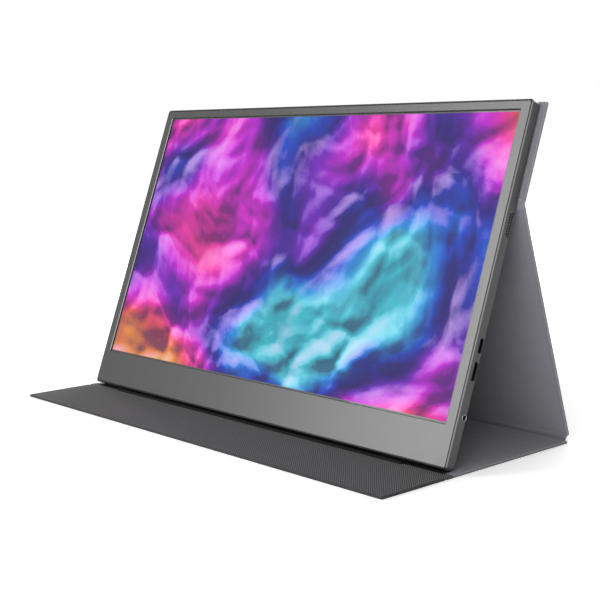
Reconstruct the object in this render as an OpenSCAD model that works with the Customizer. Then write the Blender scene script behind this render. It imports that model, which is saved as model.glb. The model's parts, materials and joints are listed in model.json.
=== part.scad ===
// Portable monitor in a folding magnetic cover.
// The cover props the display up as an easel: a base and a flap lie on the table, a strut leans
// forwards from the rear fold, and the upper back panel holds the display's back by magnets.
// X runs along the display, Y from the front edge of the cover to the back, and Z up.
// The origin is on the table, below the middle of the whole object.

/* [Display] */
// Width of the screen opening
screen_w = 344.2; // [300:0.1:400]
// Height of the screen opening
screen_h = 193.6; // [170:0.1:225]
// Bezel at each side of the screen
side_bezel = 7.8; // [5.8:0.1:12]
// Bezel above the screen
top_bezel = 6.6; // [4.8:0.1:9]
// Bezel below the screen
chin = 26; // [20:0.1:32]
// Thickness of the display
display_t = 8.8; // [8.4:0.1:12]
// Radius of the display's corners, seen from the front
display_corner_r = 2.4; // [2.3:0.1:8]
// Radius of the housing's rear edge
rear_edge_r = 2.2; // [1.2:0.1:2.3]

/* [Bezel] */
// Thickness of the bezel's face
bezel_t = 1.1; // [0.8:0.05:1.4]
// Chamfer round the screen opening
opening_chamfer = 0.4; // [0.2:0.05:0.7]
// Radius of that chamfer's corners
opening_corner_r = 0.8; // [0.75:0.05:3]
// Seam between the bezel and the housing's rim
seam_gap = 0.3; // [0.1:0.05:0.4]
// Wall of the bezel's skirt, inside the housing
skirt_t = 0.7; // [0.5:0.05:0.9]
// Depth of the bezel's skirt behind the face
skirt_depth = 2.4; // [1.5:0.1:3.5]
// Play between parts that fit into each other
fit_gap = 0.15; // [0.1:0.01:0.2]

/* [Housing] */
// Side wall of the rear housing
side_wall = 1.1; // [0.9:0.05:1.2]
// Chamfer round the front rim of the housing
rim_chamfer = 0.6; // [0.3:0.05:0.8]
// Rear wall of the rear housing
rear_wall = 0.9; // [0.7:0.05:1.1]
// Height of the screw bosses on the rear wall
boss_h = 0.4; // [0.3:0.05:0.6]
// Radius of the screw bosses
boss_r = 2.4; // [1.8:0.1:3]
// How far the port shells sit back from the housing's side
port_recess = 0.2; // [0.1:0.05:0.5]

/* [Screen module] */
// Foam gasket between the bezel and the screen
gasket_t = 0.2; // [0.1:0.05:0.3]
// Glass cell of the screen
cell_t = 0.8; // [0.5:0.05:0.9]
// Stack of diffuser and prism sheets
sheets_t = 0.3; // [0.2:0.05:0.4]
// Light guide plate
guide_t = 0.7; // [0.5:0.05:0.8]
// Sheet metal of the module's tray
tray_t = 0.4; // [0.3:0.05:0.5]
// Margin of the module round the opening, at the sides and the top
module_margin = 1.9; // [1.2:0.1:2.2]
// Margin of the module below the opening
module_foot = 9; // [6:0.5:11]

/* [Electronics] */
// Thickness of the circuit boards
board_t = 0.7; // [0.6:0.05:0.8]
// Width of the source board below the screen
source_board_w = 300; // [260:1:340]
// Height of the source board
source_board_h = 7.6; // [6:0.1:9]
// Height of the source board's lower edge over the display's bottom
source_board_y = 5; // [3:0.5:7]
// Flexes from the source board to the screen
flex_count = 5; // [3:1:6]
// Distance from flex to flex
flex_pitch = 58; // [40:1:60]
// Width of a flex
flex_w = 26; // [15:1:30]
// Light sources along the light guide's lower edge
led_count = 44; // [12:1:60]
// Length of a light source
led_l = 3.5; // [2:0.1:4]
// Height of the light sources' strip
led_strip_h = 2.6; // [2:0.1:4]
// Width of the main board
main_board_w = 112; // [90:1:130]
// Height of the main board
main_board_h = 78; // [74:1:90]
// Height of the main board's lower edge over the display's bottom
main_board_y = 14; // [10:1:18]
// Width of the control board behind the buttons
control_board_w = 24; // [18:1:40]
// Height of the control board
control_board_h = 46; // [44:1:60]
// Radius of a board screw's shank
screw_r = 0.7; // [0.6:0.05:0.9]
// Distance of the screws from the boards' edges
screw_inset = 5; // [3.5:0.5:8]
// Distance of the outer screws from the boards' edge, inside the ports
screw_port_inset = 22; // [18:0.5:30]
// Width of the ribbon between the boards
ribbon_w = 7; // [4:0.5:10]

/* [Ports] */
// Height of the headphone jack over the display's bottom
jack_y = 31.8; // [26:0.1:38]
// Radius of the jack's bore
jack_r = 1.8; // [1.75:0.01:1.85]
// Radius of the jack's nose in the wall
jack_nose_r = 2.15; // [2:0.05:2.15]
// Depth of the jack's bore
jack_depth = 13; // [11:0.5:15]
// Width of the jack's body
jack_body_w = 6; // [5:0.1:7]
// Thickness of the jack's body
jack_body_h = 4.2; // [4:0.05:4.2]
// Height of the mini video port over the display's bottom
video_y = 59.5; // [54:0.5:61]
// Width of the mini video port's shell
video_w = 11.4; // [10.8:0.1:12]
// Thickness of the mini video port's shell, outside
video_h = 3.2; // [3:0.05:3.2]
// Length of the mini video port's shell, into the display
video_len = 8; // [7:0.1:10]
// Cut at the two rear corners of the mini video port's shell
video_cut = 1.1; // [0.6:0.1:1.4]
// Height of the status light over the display's bottom
light_y = 68.4; // [67.4:0.1:68.8]
// Radius of the status light
light_r = 0.6; // [0.4:0.05:0.8]
// Height of the data port over the display's bottom
data_y = 75; // [74.4:0.1:78]
// Width of the data port's shell
data_w = 9.2; // [8.9:0.1:9.6]
// Thickness of the data port's shell, outside
data_h = 3.1; // [3:0.05:3.2]
// Length of the data port's shell, into the display
data_len = 7.6; // [7:0.1:9]
// Sheet metal of the port shells
shell_t = 0.25; // [0.2:0.05:0.3]

/* [Speakers] */
// Height of the middle of the grille over the display's bottom
grille_y = 149; // [120:1:160]
// Holes in the longer column of the grille
grille_rows = 9; // [5:1:12]
// Distance from hole to hole along a column
grille_pitch = 1.75; // [1.5:0.05:2.2]
// Distance between the two columns
grille_column_gap = 1.9; // [1.5:0.05:2.2]
// Radius of a grille hole
grille_hole_r = 0.5; // [0.35:0.05:0.6]
// Length of a speaker box, up the screen
speaker_l = 46; // [36:1:60]
// Width of a speaker box
speaker_w = 15; // [11:0.5:20]

/* [Controls] */
// Height of the power button over the display's bottom
button_y = 40; // [38:0.5:42]
// Length of the power button
button_l = 9; // [7:0.5:10]
// Width of the power button
button_w = 2.4; // [1.8:0.1:2.6]
// How far the power button stands out of the wall
button_proud = 0.6; // [0.45:0.05:0.8]
// Travel of the power button
button_travel = 0.4; // [0.2:0.05:0.4]
// Flange that holds the power button inside the wall
button_flange = 0.6; // [0.4:0.05:0.7]
// Height of the menu wheel over the display's bottom
wheel_y = 60; // [58:0.5:61]
// Radius of the menu wheel
wheel_r = 4.4; // [3.8:0.1:4.8]
// Thickness of the menu wheel
wheel_t = 2; // [1.4:0.1:2.2]
// How far the menu wheel stands out of the wall
wheel_proud = 0.9; // [0.6:0.1:1.1]
// Grips round the rim of the menu wheel
wheel_grips = 24; // [12:1:30]
// Radius of the wheel's pin
pin_r = 0.6; // [0.5:0.05:0.8]

/* [Feet] */
// Length of a rubber foot under the display
foot_l = 18; // [12:1:30]
// Distance from the display's end to a foot
foot_inset = 33; // [24:1:60]
// Depth of a foot, front to back
foot_d = 3.8; // [2.5:0.1:3.8]
// Distance of a foot's rear edge from the bezel's face
foot_w = 6.2; // [5.4:0.1:6.2]
// How far the feet stand out of the housing
foot_proud = 0.5; // [0.3:0.05:0.8]
// How deep the feet sit in the housing
foot_seat = 0.3; // [0.2:0.05:0.4]

/* [Cover] */
// How far the cover reaches past the display at each side
cover_side = 3.8; // [3:0.1:12]
// Thickness of a stiffened panel
panel_t = 1.8; // [1.5:0.1:2.6]
// Outer skin of the cover
skin_t = 0.45; // [0.3:0.05:0.5]
// Lining of the cover
lining_t = 0.35; // [0.25:0.05:0.4]
// Width of the skin turned over at a panel's edge
hem_w = 1.6; // [1.5:0.1:4]
// Radius of the cover's outer corners
cover_corner_r = 1; // [0.8:0.1:6]
// Radius of a panel's corners at a fold
fold_corner_r = 0.8; // [0.6:0.1:2]

/* [Panels] */
// Flap, from the front fold to the cover's front edge
flap_len = 53.9; // [45:0.1:60]
// Base, from the front fold to the rear fold
base_len = 122; // [108:0.1:126]
// Strut, from the rear fold to the top fold
strut_len = 162.6; // [154:0.1:168]
// Upper back panel, from the top fold to its top edge
upper_len = 64.4; // [60:0.1:74]
// How far the upper back panel reaches over the display's top
upper_overhang = 1.3; // [0:0.1:6]

/* [Folds] */
// Thickness of the skin at a fold
fold_t = 0.9; // [0.6:0.05:1]
// Radius of the bead that a fold turns about
bead_r = 0.5; // [0.45:0.05:0.6]
// Clear distance from a bead to the skin that turns about it
bead_gap = 0.5; // [0.4:0.05:0.7]
// Soft skin between the base panel and the rear fold
rear_fold_base = 2.4; // [2:0.1:4]
// Soft skin between the strut panel and the rear fold
rear_fold_strut = 4.6; // [3.6:0.1:6]
// Soft skin on each side of the top fold
top_fold_skin = 2.4; // [1.8:0.1:4]
// Notch at each end of the rear fold
rear_fold_notch = 3.2; // [1:0.1:6]

/* [Groove] */
// Width of the groove strip, from the front fold to the base panel
groove_w = 5.2; // [4.6:0.1:7]
// Thickness of the groove strip
groove_t = 0.9; // [0.8:0.05:1]
// Width of the stop rib in front of the display's foot
rib_w = 2; // [1.6:0.1:2.2]
// Height of the stop rib
rib_h = 1.4; // [0.8:0.1:1.6]
// Radius of the stop rib's upper edges
rib_crown_r = 0.6; // [0.3:0.05:0.75]
// Distance from the front fold to the stop rib
rib_y = 1.8; // [1.6:0.1:2]
// How far the rib stops short of the cover's sides
rib_inset = 37; // [20:1:60]
// Distance from the front fold to the display's foot
foot_setback = 9.4; // [9:0.1:14]
// Clear height under the display's foot
foot_gap = 0.2; // [0.1:0.05:0.4]

/* [Magnets] */
// Length of a bar magnet
magnet_l = 40; // [20:1:50]
// Width of a bar magnet
magnet_w = 8; // [5:0.5:10]
// Magnets along the upper back panel
upper_magnet_count = 4; // [2:1:6]
// Distance between magnets along the upper back panel
upper_magnet_pitch = 84; // [56:1:90]
// Distance between the two magnets of the flap
flap_magnet_pitch = 222; // [80:1:260]
// Thickness of a magnet
magnet_t = 0.8; // [0.4:0.05:0.8]

/* [Hidden] */
$fn = 48;

over = 1;               // how far a cutter runs past the face that it opens
relief = 1;             // clear length at each end of a cut in the bezel's skirt
magnet_play = 0.1;      // play round a magnet in its pocket
flex_t = 0.15;          // thickness of a flex or a ribbon
screw_head_t = 0.5;     // thickness of a screw's head
tongue_t = 0.7;         // thickness of a port's tongue
tongue_recess = 0.8;    // distance of a port's tongue from its mouth
light_pipe_l = 2;       // length of the status light inside the wall
speaker_wall = 0.5;     // wall of a speaker box beside its mouth
speaker_mouth = 3;      // depth of a speaker's mouth
switch_size = [5.5, 6, 2.2];
button_lip = 0.4;       // how far the button's flange reaches past the button
button_gap = 0.05;      // play between the flange and the wall, and before the switch
pin_play = 0.05;        // play between the wheel and its pin
pin_head = 0.3;         // how far the pin stands out of the wheel
wheel_grip_r = 0.3;
wheel_grip_depth = 0.2;

display_w = screen_w + 2 * side_bezel;
display_h = chin + screen_h + top_bezel;
cover_w = display_w + 2 * cover_side;

// Cover: where the folds lie, and the triangle that they make with the display's foot
cover_depth = flap_len + base_len + bead_r;
front_fold_y = flap_len - cover_depth / 2;
rear_fold_y = front_fold_y + base_len;
fold_z = panel_t / 2;
board_core_t = panel_t - skin_t - lining_t;
foot_z = panel_t + foot_gap;
foot_y = front_fold_y + foot_setback;
top_fold_depth = display_t + panel_t / 2;
top_fold_up = display_h + upper_overhang - upper_len;
foot_to_fold = norm([top_fold_depth - foot_w, top_fold_up + foot_proud]);
foot_to_rear = norm([rear_fold_y - foot_y, foot_z - fold_z]);
foot_corner = acos((pow(foot_to_fold, 2) + pow(foot_to_rear, 2) - pow(strut_len, 2))
    / (2 * foot_to_fold * foot_to_rear));
foot_rise = foot_corner - atan2(foot_z - fold_z, rear_fold_y - foot_y);
tilt = 90 - foot_rise - atan2(top_fold_depth - foot_w, top_fold_up + foot_proud);
top_fold_y = foot_y + foot_to_fold * cos(foot_rise);
top_fold_z = foot_z + foot_to_fold * sin(foot_rise);
strut_lean = atan2(rear_fold_y - top_fold_y, top_fold_z - fold_z);
display_y = foot_y - foot_w * cos(tilt) + foot_proud * sin(tilt);
display_z = foot_z + foot_w * sin(tilt) + foot_proud * cos(tilt);

// Display: depths are measured back from the bezel's face, heights up from the bottom edge
half_w = display_w / 2;
inner_r = display_corner_r - side_wall;
bezel_r = inner_r - seam_gap;
cell_front = bezel_t + gasket_t;
sheets_front = cell_front + cell_t;
guide_front = sheets_front + sheets_t;
tray_back = guide_front + guide_t + tray_t;
rear_inside = display_t - rear_wall;
board_back = rear_inside - boss_h;
board_front = board_back - board_t;
module_w = screen_w + 2 * module_margin;
module_y = chin - module_foot;
module_h = module_foot + screen_h + module_margin;
port_wall = half_w - side_wall;
inner_edge_r = max(rear_edge_r - side_wall, 0.2);
video_depth = board_front - video_h / 2;
data_depth = board_front - data_h / 2;
jack_depth_mid = (tray_back + rear_inside) / 2;
control_depth = (tray_back + board_front) / 2;
wheel_x = -half_w + wheel_r - wheel_proud;
main_board_x = port_wall - inner_edge_r - main_board_w;
control_board_x = -port_wall + inner_edge_r;
upper_magnet_up = (top_fold_skin + upper_len) / 2;

// ---- frames -------------------------------------------------------------------------------

// Display lying on its back: x right, y up the screen, z out of the screen
module on_display() { translate([0, display_y, display_z]) rotate([90 - tilt, 0, 0]) children(); }

// A panel lies on a bench: y away from its fold, z = 0 on its outer face, lining up
module on_base() { translate([0, front_fold_y, 0]) children(); }
module on_flap() { translate([0, front_fold_y, 0]) rotate([0, 0, 180]) children(); }
module on_strut() {
    translate([0, rear_fold_y, fold_z]) rotate([90 + strut_lean, 0, 0])
        translate([0, 0, -panel_t / 2]) children();
}
module on_upper() { on_display() translate([0, top_fold_up, -display_t - panel_t]) children(); }
module turned_over() { translate([0, 0, panel_t]) mirror([0, 0, 1]) children(); }

// ---- shapes -------------------------------------------------------------------------------

// A layer of the display between two depths behind the bezel's face
module layer(front, back) { translate([0, 0, -back]) linear_extrude(back - front) children(); }

// Extrudes a shape drawn in the side's plane, x up the screen and y out of the screen
module across(x0, x1) { translate([x0, 0, 0]) rotate([90, 0, 90]) linear_extrude(x1 - x0) children(); }

// Extrudes a section seen from below, x to the right and y out of the screen
module upwards(y0, y1) { translate([0, y1, 0]) rotate([90, 0, 0]) linear_extrude(y1 - y0) children(); }

module centred(w, y0, h) { translate([-w / 2, y0]) square([w, h]); }

module slot_shape(l, h) {
    square([l - h, h], center = true);
    for (end = [-1, 1]) translate([end * (l - h) / 2, 0]) circle(d = h);
}

// What a rounded corner takes off a square one, with the corner at the origin
module corner_scrap(r) {
    difference() {
        translate([-over, -over]) square(r + over);
        translate([r, r]) circle(r);
    }
}

module rounded_sheet(w, y0, y1, r0, r1) {
    difference() {
        centred(w, y0, y1 - y0);
        translate([-w / 2, y0]) corner_scrap(r0);
        translate([w / 2, y0]) mirror([1, 0]) corner_scrap(r0);
        translate([-w / 2, y1]) mirror([0, 1]) corner_scrap(r1);
        translate([w / 2, y1]) mirror([1, 0]) mirror([0, 1]) corner_scrap(r1);
    }
}

// Carries a wall profile round a rounded rectangle. The profile's x runs outwards from the corner's
// centre line, so the outside is at x = r, and its y runs out of the screen
module swept_round(w, h, r) {
    for (quarter = [0 : 3]) {
        turn = quarter * 90;
        x = sign(cos(turn + 45)) * (w / 2 - r);
        y = sign(sin(turn + 45)) * (h / 2 - r);
        translate([x, h / 2 + y, 0]) rotate([0, 0, turn]) {
            rotate_extrude(angle = 90) children();
            rotate([90, 0, 0]) linear_extrude((quarter % 2 == 0 ? h : w) - 2 * r) children();
        }
    }
}

// ---- cover --------------------------------------------------------------------------------

module panel_skin(y0, y1, r0, r1) {
    difference() {
        linear_extrude(panel_t) rounded_sheet(cover_w, y0, y1, r0, r1);
        translate([0, 0, skin_t]) linear_extrude(board_core_t) core_shape(y0, y1, r0, r1);
        translate([0, 0, panel_t - lining_t]) linear_extrude(lining_t + over)
            lining_shape(y0, y1, r0, r1);
    }
}
module core_shape(y0, y1, r0, r1) {
    rounded_sheet(cover_w - 2 * skin_t, y0 + skin_t, y1 - skin_t, r0 - skin_t, r1 - skin_t);
}
module lining_shape(y0, y1, r0, r1) {
    least_r = 0.3;
    rounded_sheet(cover_w - 2 * hem_w, y0 + hem_w, y1 - hem_w,
        max(r0 - hem_w, least_r), max(r1 - hem_w, least_r));
}
module panel_core(y0, y1, r0, r1) {
    translate([0, 0, skin_t]) linear_extrude(board_core_t) core_shape(y0, y1, r0, r1);
}
module panel_lining(y0, y1, r0, r1) {
    translate([0, 0, panel_t - lining_t]) linear_extrude(lining_t) lining_shape(y0, y1, r0, r1);
}
// Soft skin beside a fold, whose ends run from one notch depth to another
module fold_skin(y0, y1, notch0, notch1) {
    x0 = cover_w / 2 - notch0;
    x1 = cover_w / 2 - notch1;
    translate([0, 0, (panel_t - fold_t) / 2]) linear_extrude(fold_t)
        polygon([[-x0, y0], [x0, y0], [x1, y1], [-x1, y1]]);
}
module rod(y, z, r, notch) {
    translate([-cover_w / 2 + notch, y, z]) rotate([0, 90, 0]) cylinder(r = r, h = cover_w - 2 * notch);
}

base_end = base_len - rear_fold_base;
module base_skin() color("#3c3c3f") on_base() {
    panel_skin(groove_w, base_end, fold_corner_r, fold_corner_r);
    fold_skin(base_end, base_len, rear_fold_notch, rear_fold_notch);
    rod(base_len, fold_z, bead_r, rear_fold_notch);
}
module base_board() color("#8a7a5c") on_base()
    panel_core(groove_w, base_end, fold_corner_r, fold_corner_r);
module base_lining() color("#55535a") on_base()
    panel_lining(groove_w, base_end, fold_corner_r, fold_corner_r);

// The strip that the flap folds about, and the rib that stops the display's foot
module groove_strip() color("#2b2b2d") on_base() {
    translate([-cover_w / 2, 0, panel_t - groove_t]) cube([cover_w, groove_w, groove_t]);
    rod(0, panel_t - groove_t / 2, groove_t / 2, 0);
}
module stop_rib() color("#161617") on_base() {
    rib_half = cover_w / 2 - rib_inset;
    translate([0, rib_y, panel_t]) rotate([90, 0, 90]) translate([0, 0, -rib_half])
        linear_extrude(2 * rib_half) difference() {
            square([rib_w, rib_h]);
            translate([0, rib_h]) mirror([0, 1]) corner_scrap(rib_crown_r);
            translate([rib_w, rib_h]) mirror([1, 0]) mirror([0, 1]) corner_scrap(rib_crown_r);
        }
}

module magnet_pocket() {
    translate([0, 0, -over]) linear_extrude(panel_t + 2 * over)
        square([magnet_l + 2 * magnet_play, magnet_w + 2 * magnet_play], center = true);
}
module panel_magnet() {
    translate([0, 0, skin_t]) linear_extrude(min(magnet_t, board_core_t))
        square([magnet_l, magnet_w], center = true);
}

flap_start = groove_t / 2 + bead_gap;
module flap_magnet_places() {
    for (side = [-1, 1])
        translate([side * flap_magnet_pitch / 2, flap_len - hem_w - magnet_w, 0]) children();
}
module flap_cloth() color("#4a4a4c") on_flap() turned_over()
    panel_skin(flap_start, flap_len, fold_corner_r, cover_corner_r);
module flap_board() color("#8a7a5c") on_flap() turned_over() difference() {
    panel_core(flap_start, flap_len, fold_corner_r, cover_corner_r);
    flap_magnet_places() magnet_pocket();
}
module flap_magnets() color("#9c9ca0") on_flap() turned_over()
    flap_magnet_places() panel_magnet();
module flap_underside() color("#3a3a3c") on_flap() turned_over()
    panel_lining(flap_start, flap_len, fold_corner_r, cover_corner_r);

strut_end = strut_len - top_fold_skin;
module strut_skin() color("#3c3c3f") on_strut() {
    panel_skin(rear_fold_strut, strut_end, fold_corner_r, fold_corner_r);
    fold_skin(bead_r + bead_gap, rear_fold_strut, rear_fold_notch, fold_corner_r);
    fold_skin(strut_end, strut_len, 0, 0);
    rod(strut_len, fold_z, bead_r, 0);
}
module strut_board() color("#8a7a5c") on_strut()
    panel_core(rear_fold_strut, strut_end, fold_corner_r, fold_corner_r);
module strut_lining() color("#5f5d64") on_strut()
    panel_lining(rear_fold_strut, strut_end, fold_corner_r, fold_corner_r);

module upper_magnet_places() {
    for (i = [0 : upper_magnet_count - 1])
        translate([(i - (upper_magnet_count - 1) / 2) * upper_magnet_pitch, upper_magnet_up, 0])
            children();
}
module upper_skin() color("#3c3c3f") on_upper() {
    panel_skin(top_fold_skin, upper_len, fold_corner_r, cover_corner_r);
    fold_skin(bead_r + bead_gap, top_fold_skin, 0, 0);
}
module upper_board() color("#8a7a5c") on_upper() difference() {
    panel_core(top_fold_skin, upper_len, fold_corner_r, cover_corner_r);
    upper_magnet_places() magnet_pocket();
}
module upper_magnets() color("#9c9ca0") on_upper()
    upper_magnet_places() panel_magnet();
module upper_lining() color("#77757c") on_upper()
    panel_lining(top_fold_skin, upper_len, fold_corner_r, cover_corner_r);

// ---- display: bezel and screen ------------------------------------------------------------

module display_core(front, back) {
    layer(front, back) centred(display_w - 2 * display_corner_r, display_corner_r,
        display_h - 2 * display_corner_r);
}

module front_bezel() color("#8e8e8e") on_display() difference() {
    union() {
        swept_round(display_w, display_h, display_corner_r) {
            translate([0, -bezel_t]) square([bezel_r, bezel_t]);
            translate([bezel_r - skirt_t, -bezel_t - skirt_depth]) square([skirt_t, skirt_depth]);
        }
        display_core(0, bezel_t);
    }
    layer(-over, bezel_t + over) centred(screen_w, chin, screen_h);
    translate([0, chin - opening_chamfer, 0])
        swept_round(screen_w + 2 * opening_chamfer, screen_h + 2 * opening_chamfer, opening_corner_r)
            polygon([[0, -opening_chamfer], [opening_corner_r - opening_chamfer, -opening_chamfer],
                [opening_corner_r + over, over], [0, over]]);
    translate([half_w - display_corner_r, 0, 0]) skirt_relief([[jack_y, 2 * jack_nose_r],
        [video_y, video_w], [light_y, 2 * light_r], [data_y, data_w], [grille_y, speaker_l]]);
    translate([-half_w + display_corner_r, 0, 0]) skirt_relief([[button_y, button_l + 2 * button_lip],
        [wheel_y, 2 * wheel_r], [grille_y, speaker_l]]);
}

// The skirt is cut away where ports, light, button and wheel pass through the wall
module skirt_relief(spans) {
    for (s = spans) {
        length = s[1] + 2 * relief;
        layer(bezel_t, bezel_t + skirt_depth + over)
            translate([-display_corner_r, s[0] - length / 2]) square([2 * display_corner_r, length]);
    }
}

module screen_gasket() color("#1b1b1c") on_display() layer(bezel_t, cell_front) difference() {
    centred(module_w, module_y, module_h);
    centred(screen_w, chin, screen_h);
}
module lcd_cell() color("#0d1622") on_display()
    layer(cell_front, sheets_front) centred(module_w, module_y, module_h);
tray_inset = tray_t + fit_gap;
tray_inside_w = module_w - 2 * tray_inset;
tray_inside_h = module_h - 2 * tray_inset;
module optical_sheets() color("#e8e8ea") on_display()
    layer(sheets_front, guide_front) centred(tray_inside_w, module_y + tray_inset, tray_inside_h);
module light_guide() color("#cfe3e6") on_display()
    layer(guide_front, guide_front + guide_t)
        centred(tray_inside_w, module_y + tray_inset + led_strip_h, tray_inside_h - led_strip_h);
module led_bar() color("#f2efc4") on_display() translate([0, module_y + tray_inset, 0]) {
    led_pitch = (tray_inside_w - led_l) / led_count;
    layer(guide_front, guide_front + guide_t) {
        centred(tray_inside_w, 0, led_strip_h / 2);
        for (i = [0 : led_count]) translate([(i - led_count / 2) * led_pitch - led_l / 2, 0])
            square([led_l, led_strip_h]);
    }
}
module module_tray() color("#b8bcc0") on_display() difference() {
    layer(sheets_front, tray_back) centred(module_w, module_y, module_h);
    layer(sheets_front - over, tray_back - tray_t)
        centred(module_w - 2 * tray_t, module_y + tray_t, module_h - 2 * tray_t);
}

// ---- display: electronics -----------------------------------------------------------------

// The flexes run from the face of the source board to the edge of the cell
source_board_front = sheets_front - flex_t;
module source_board() color("#1f6b3a") on_display()
    layer(source_board_front, source_board_front + board_t)
        centred(source_board_w, source_board_y, source_board_h);
module panel_flex() color("#b9782c") on_display() layer(source_board_front - flex_t, source_board_front) {
    flex_y = source_board_y + source_board_h / 2;
    for (i = [0 : flex_count - 1])
        translate([(i - (flex_count - 1) / 2) * flex_pitch, 0]) centred(flex_w, flex_y, module_y - flex_y);
}

main_holes = [for (x = [screw_inset, main_board_w - screw_port_inset],
    y = [screw_inset, main_board_h - screw_inset]) [main_board_x + x, main_board_y + y]];
control_board_y = (button_y + wheel_y) / 2 - control_board_h / 2;
control_holes = [for (y = [screw_inset, control_board_h - screw_inset])
    [control_board_x + control_board_w - screw_inset, control_board_y + y]];

// Chips on the main board: x, y, width and height from its lower left corner
chips = [[34, 36, 14, 14], [58, 40, 9, 9], [30, 12, 7, 10], [56, 16, 6, 6]];
chip_t = 1.2;

module main_board() color("#1d5f34") on_display() difference() {
    union() {
        layer(board_front, board_back)
            translate([main_board_x, main_board_y]) square([main_board_w, main_board_h]);
        layer(board_front - chip_t, board_front)
            for (chip = chips) translate([main_board_x + chip[0], main_board_y + chip[1]])
                square([chip[2], chip[3]]);
    }
    layer(board_front - over, board_back + over) {
        translate([jack_body_x - fit_gap, jack_y - jack_body_w / 2 - fit_gap])
            square([half_w - jack_body_x, jack_body_w + 2 * fit_gap]);
        for (p = main_holes) translate(p) circle(screw_r + fit_gap);
    }
}
module control_board() color("#1d5f34") on_display()
    layer(board_front, board_back) difference() {
        translate([control_board_x, control_board_y]) square([control_board_w, control_board_h]);
        for (p = control_holes) translate(p) circle(screw_r + fit_gap);
    }
module control_ribbon() color("#c9c4b8") on_display() {
    ribbon_x = control_board_x + control_board_w;
    layer(board_front, board_front + flex_t)
        translate([ribbon_x, wheel_y - ribbon_w / 2]) square([main_board_x - ribbon_x, ribbon_w]);
}
module board_screws() color("#a8a8ac") on_display()
    for (p = concat(main_holes, control_holes)) translate([p[0], p[1], 0]) {
        translate([0, 0, -board_front]) cylinder(r = 2 * screw_r, h = screw_head_t);
        translate([0, 0, -rear_inside - rear_wall / 2])
            cylinder(r = screw_r, h = board_t + boss_h + rear_wall / 2);
    }
module power_switch() color("#2a2a2c") on_display() {
    switch_x = -port_wall + 2 * button_gap + button_flange + button_travel;
    layer(board_front - switch_size[2], board_front)
        translate([switch_x, button_y - switch_size[1] / 2]) square([switch_size[0], switch_size[1]]);
}

jack_body_x = half_w - jack_depth - over;
module audio_jack() color("#1a1a1b") on_display() translate([0, jack_y, -jack_depth_mid]) difference() {
    union() {
        across(jack_body_x, port_wall - inner_edge_r)
            square([jack_body_w, jack_body_h], center = true);
        across(port_wall - inner_edge_r, half_w) circle(jack_nose_r);
    }
    across(half_w - jack_depth, half_w + over) circle(jack_r);
}
module data_shape(grow) { slot_shape(data_w + 2 * grow, data_h + 2 * grow); }
// The mini video port is a slot whose two corners at the back are cut off
module video_shape(grow) {
    w = video_w / 2 + grow;
    h = video_h / 2 + grow;
    polygon([[-w, h], [w, h], [w, -h + video_cut], [w - video_cut, -h], [-w + video_cut, -h],
        [-w, -h + video_cut]]);
}
// A port is a closed shell of sheet metal with a tongue inside. Its two children are the shapes of
// the shell's outside and inside, and its third is the tongue's
module port(length) {
    mouth = half_w - port_recess;
    back = mouth - length;
    difference() {
        across(back, mouth) children(0);
        across(back + shell_t, mouth + over) children(1);
    }
    across(back, mouth - tongue_recess) children(2);
}
module data_port() color("#b4b6ba") on_display() translate([0, data_y, -data_depth]) port(data_len) {
    data_shape(0);
    data_shape(-shell_t);
    square([data_w - data_h, tongue_t], center = true);
}
module video_port() color("#b4b6ba") on_display() translate([0, video_y, -video_depth]) port(video_len) {
    video_shape(0);
    video_shape(-shell_t);
    square([video_w - 2 * video_cut - 2 * shell_t, tongue_t], center = true);
}
module status_light() color("#dfe8ee") on_display() translate([0, light_y, -control_depth])
    across(port_wall - light_pipe_l, half_w) circle(light_r);

module grille_holes() {
    for (column = [0, 1], row = [0 : grille_rows - 1 - column])
        translate([(row - (grille_rows - 1 - column) / 2) * grille_pitch,
            (column - 0.5) * grille_column_gap]) circle(grille_hole_r, $fn = 24);
}
// A speaker box fills the corner between the side and the rear wall, and opens behind the grille
module speaker() {
    outer = port_wall - fit_gap;
    front = tray_back + fit_gap;
    mouth_h = 2 * (control_depth - front) - 2 * speaker_wall;
    translate([0, grille_y, 0]) difference() {
        upwards(-speaker_l / 2, speaker_l / 2) difference() {
            translate([outer - speaker_w, -rear_inside + fit_gap])
                square([speaker_w, rear_inside - fit_gap - front]);
            translate([outer, -rear_inside + fit_gap]) mirror([1, 0]) corner_scrap(inner_edge_r);
        }
        translate([0, 0, -control_depth]) across(outer - speaker_mouth, outer + over)
            slot_shape((grille_rows - 1) * grille_pitch + mouth_h, mouth_h);
    }
}
module speaker_right() color("#222224") on_display() speaker();
module speaker_left() color("#222224") on_display() mirror([1, 0, 0]) speaker();

module display_magnets() color("#9c9ca0") on_display()
    layer(rear_inside - magnet_t, rear_inside)
        translate([0, top_fold_up]) upper_magnet_places() square([magnet_l, magnet_w], center = true);

// ---- display: housing, feet and controls --------------------------------------------------

module feet(depth) {
    for (side = [-1, 1]) layer(foot_w - foot_d, foot_w)
        translate([side * (half_w - foot_inset - foot_l / 2) - foot_l / 2, -depth[0]])
            square([foot_l, depth[0] + depth[1]]);
}

// Side wall in section, from the rounded rear edge to the chamfered front rim
module housing_profile() {
    difference() {
        heel(display_corner_r, display_t, rear_edge_r);
        translate([-over, rear_wall]) heel(inner_r + over, display_t, inner_edge_r);
        translate([display_corner_r, display_t]) rotate([0, 0, 45])
            square([sqrt(2) * rim_chamfer, 2 * over], center = true);
    }
}
// A rectangle whose outer rear corner is rounded, with its rear face at y = 0
module heel(w, h, r) {
    difference() {
        square([w, h]);
        translate([w, 0]) mirror([1, 0]) corner_scrap(r);
    }
}

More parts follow.
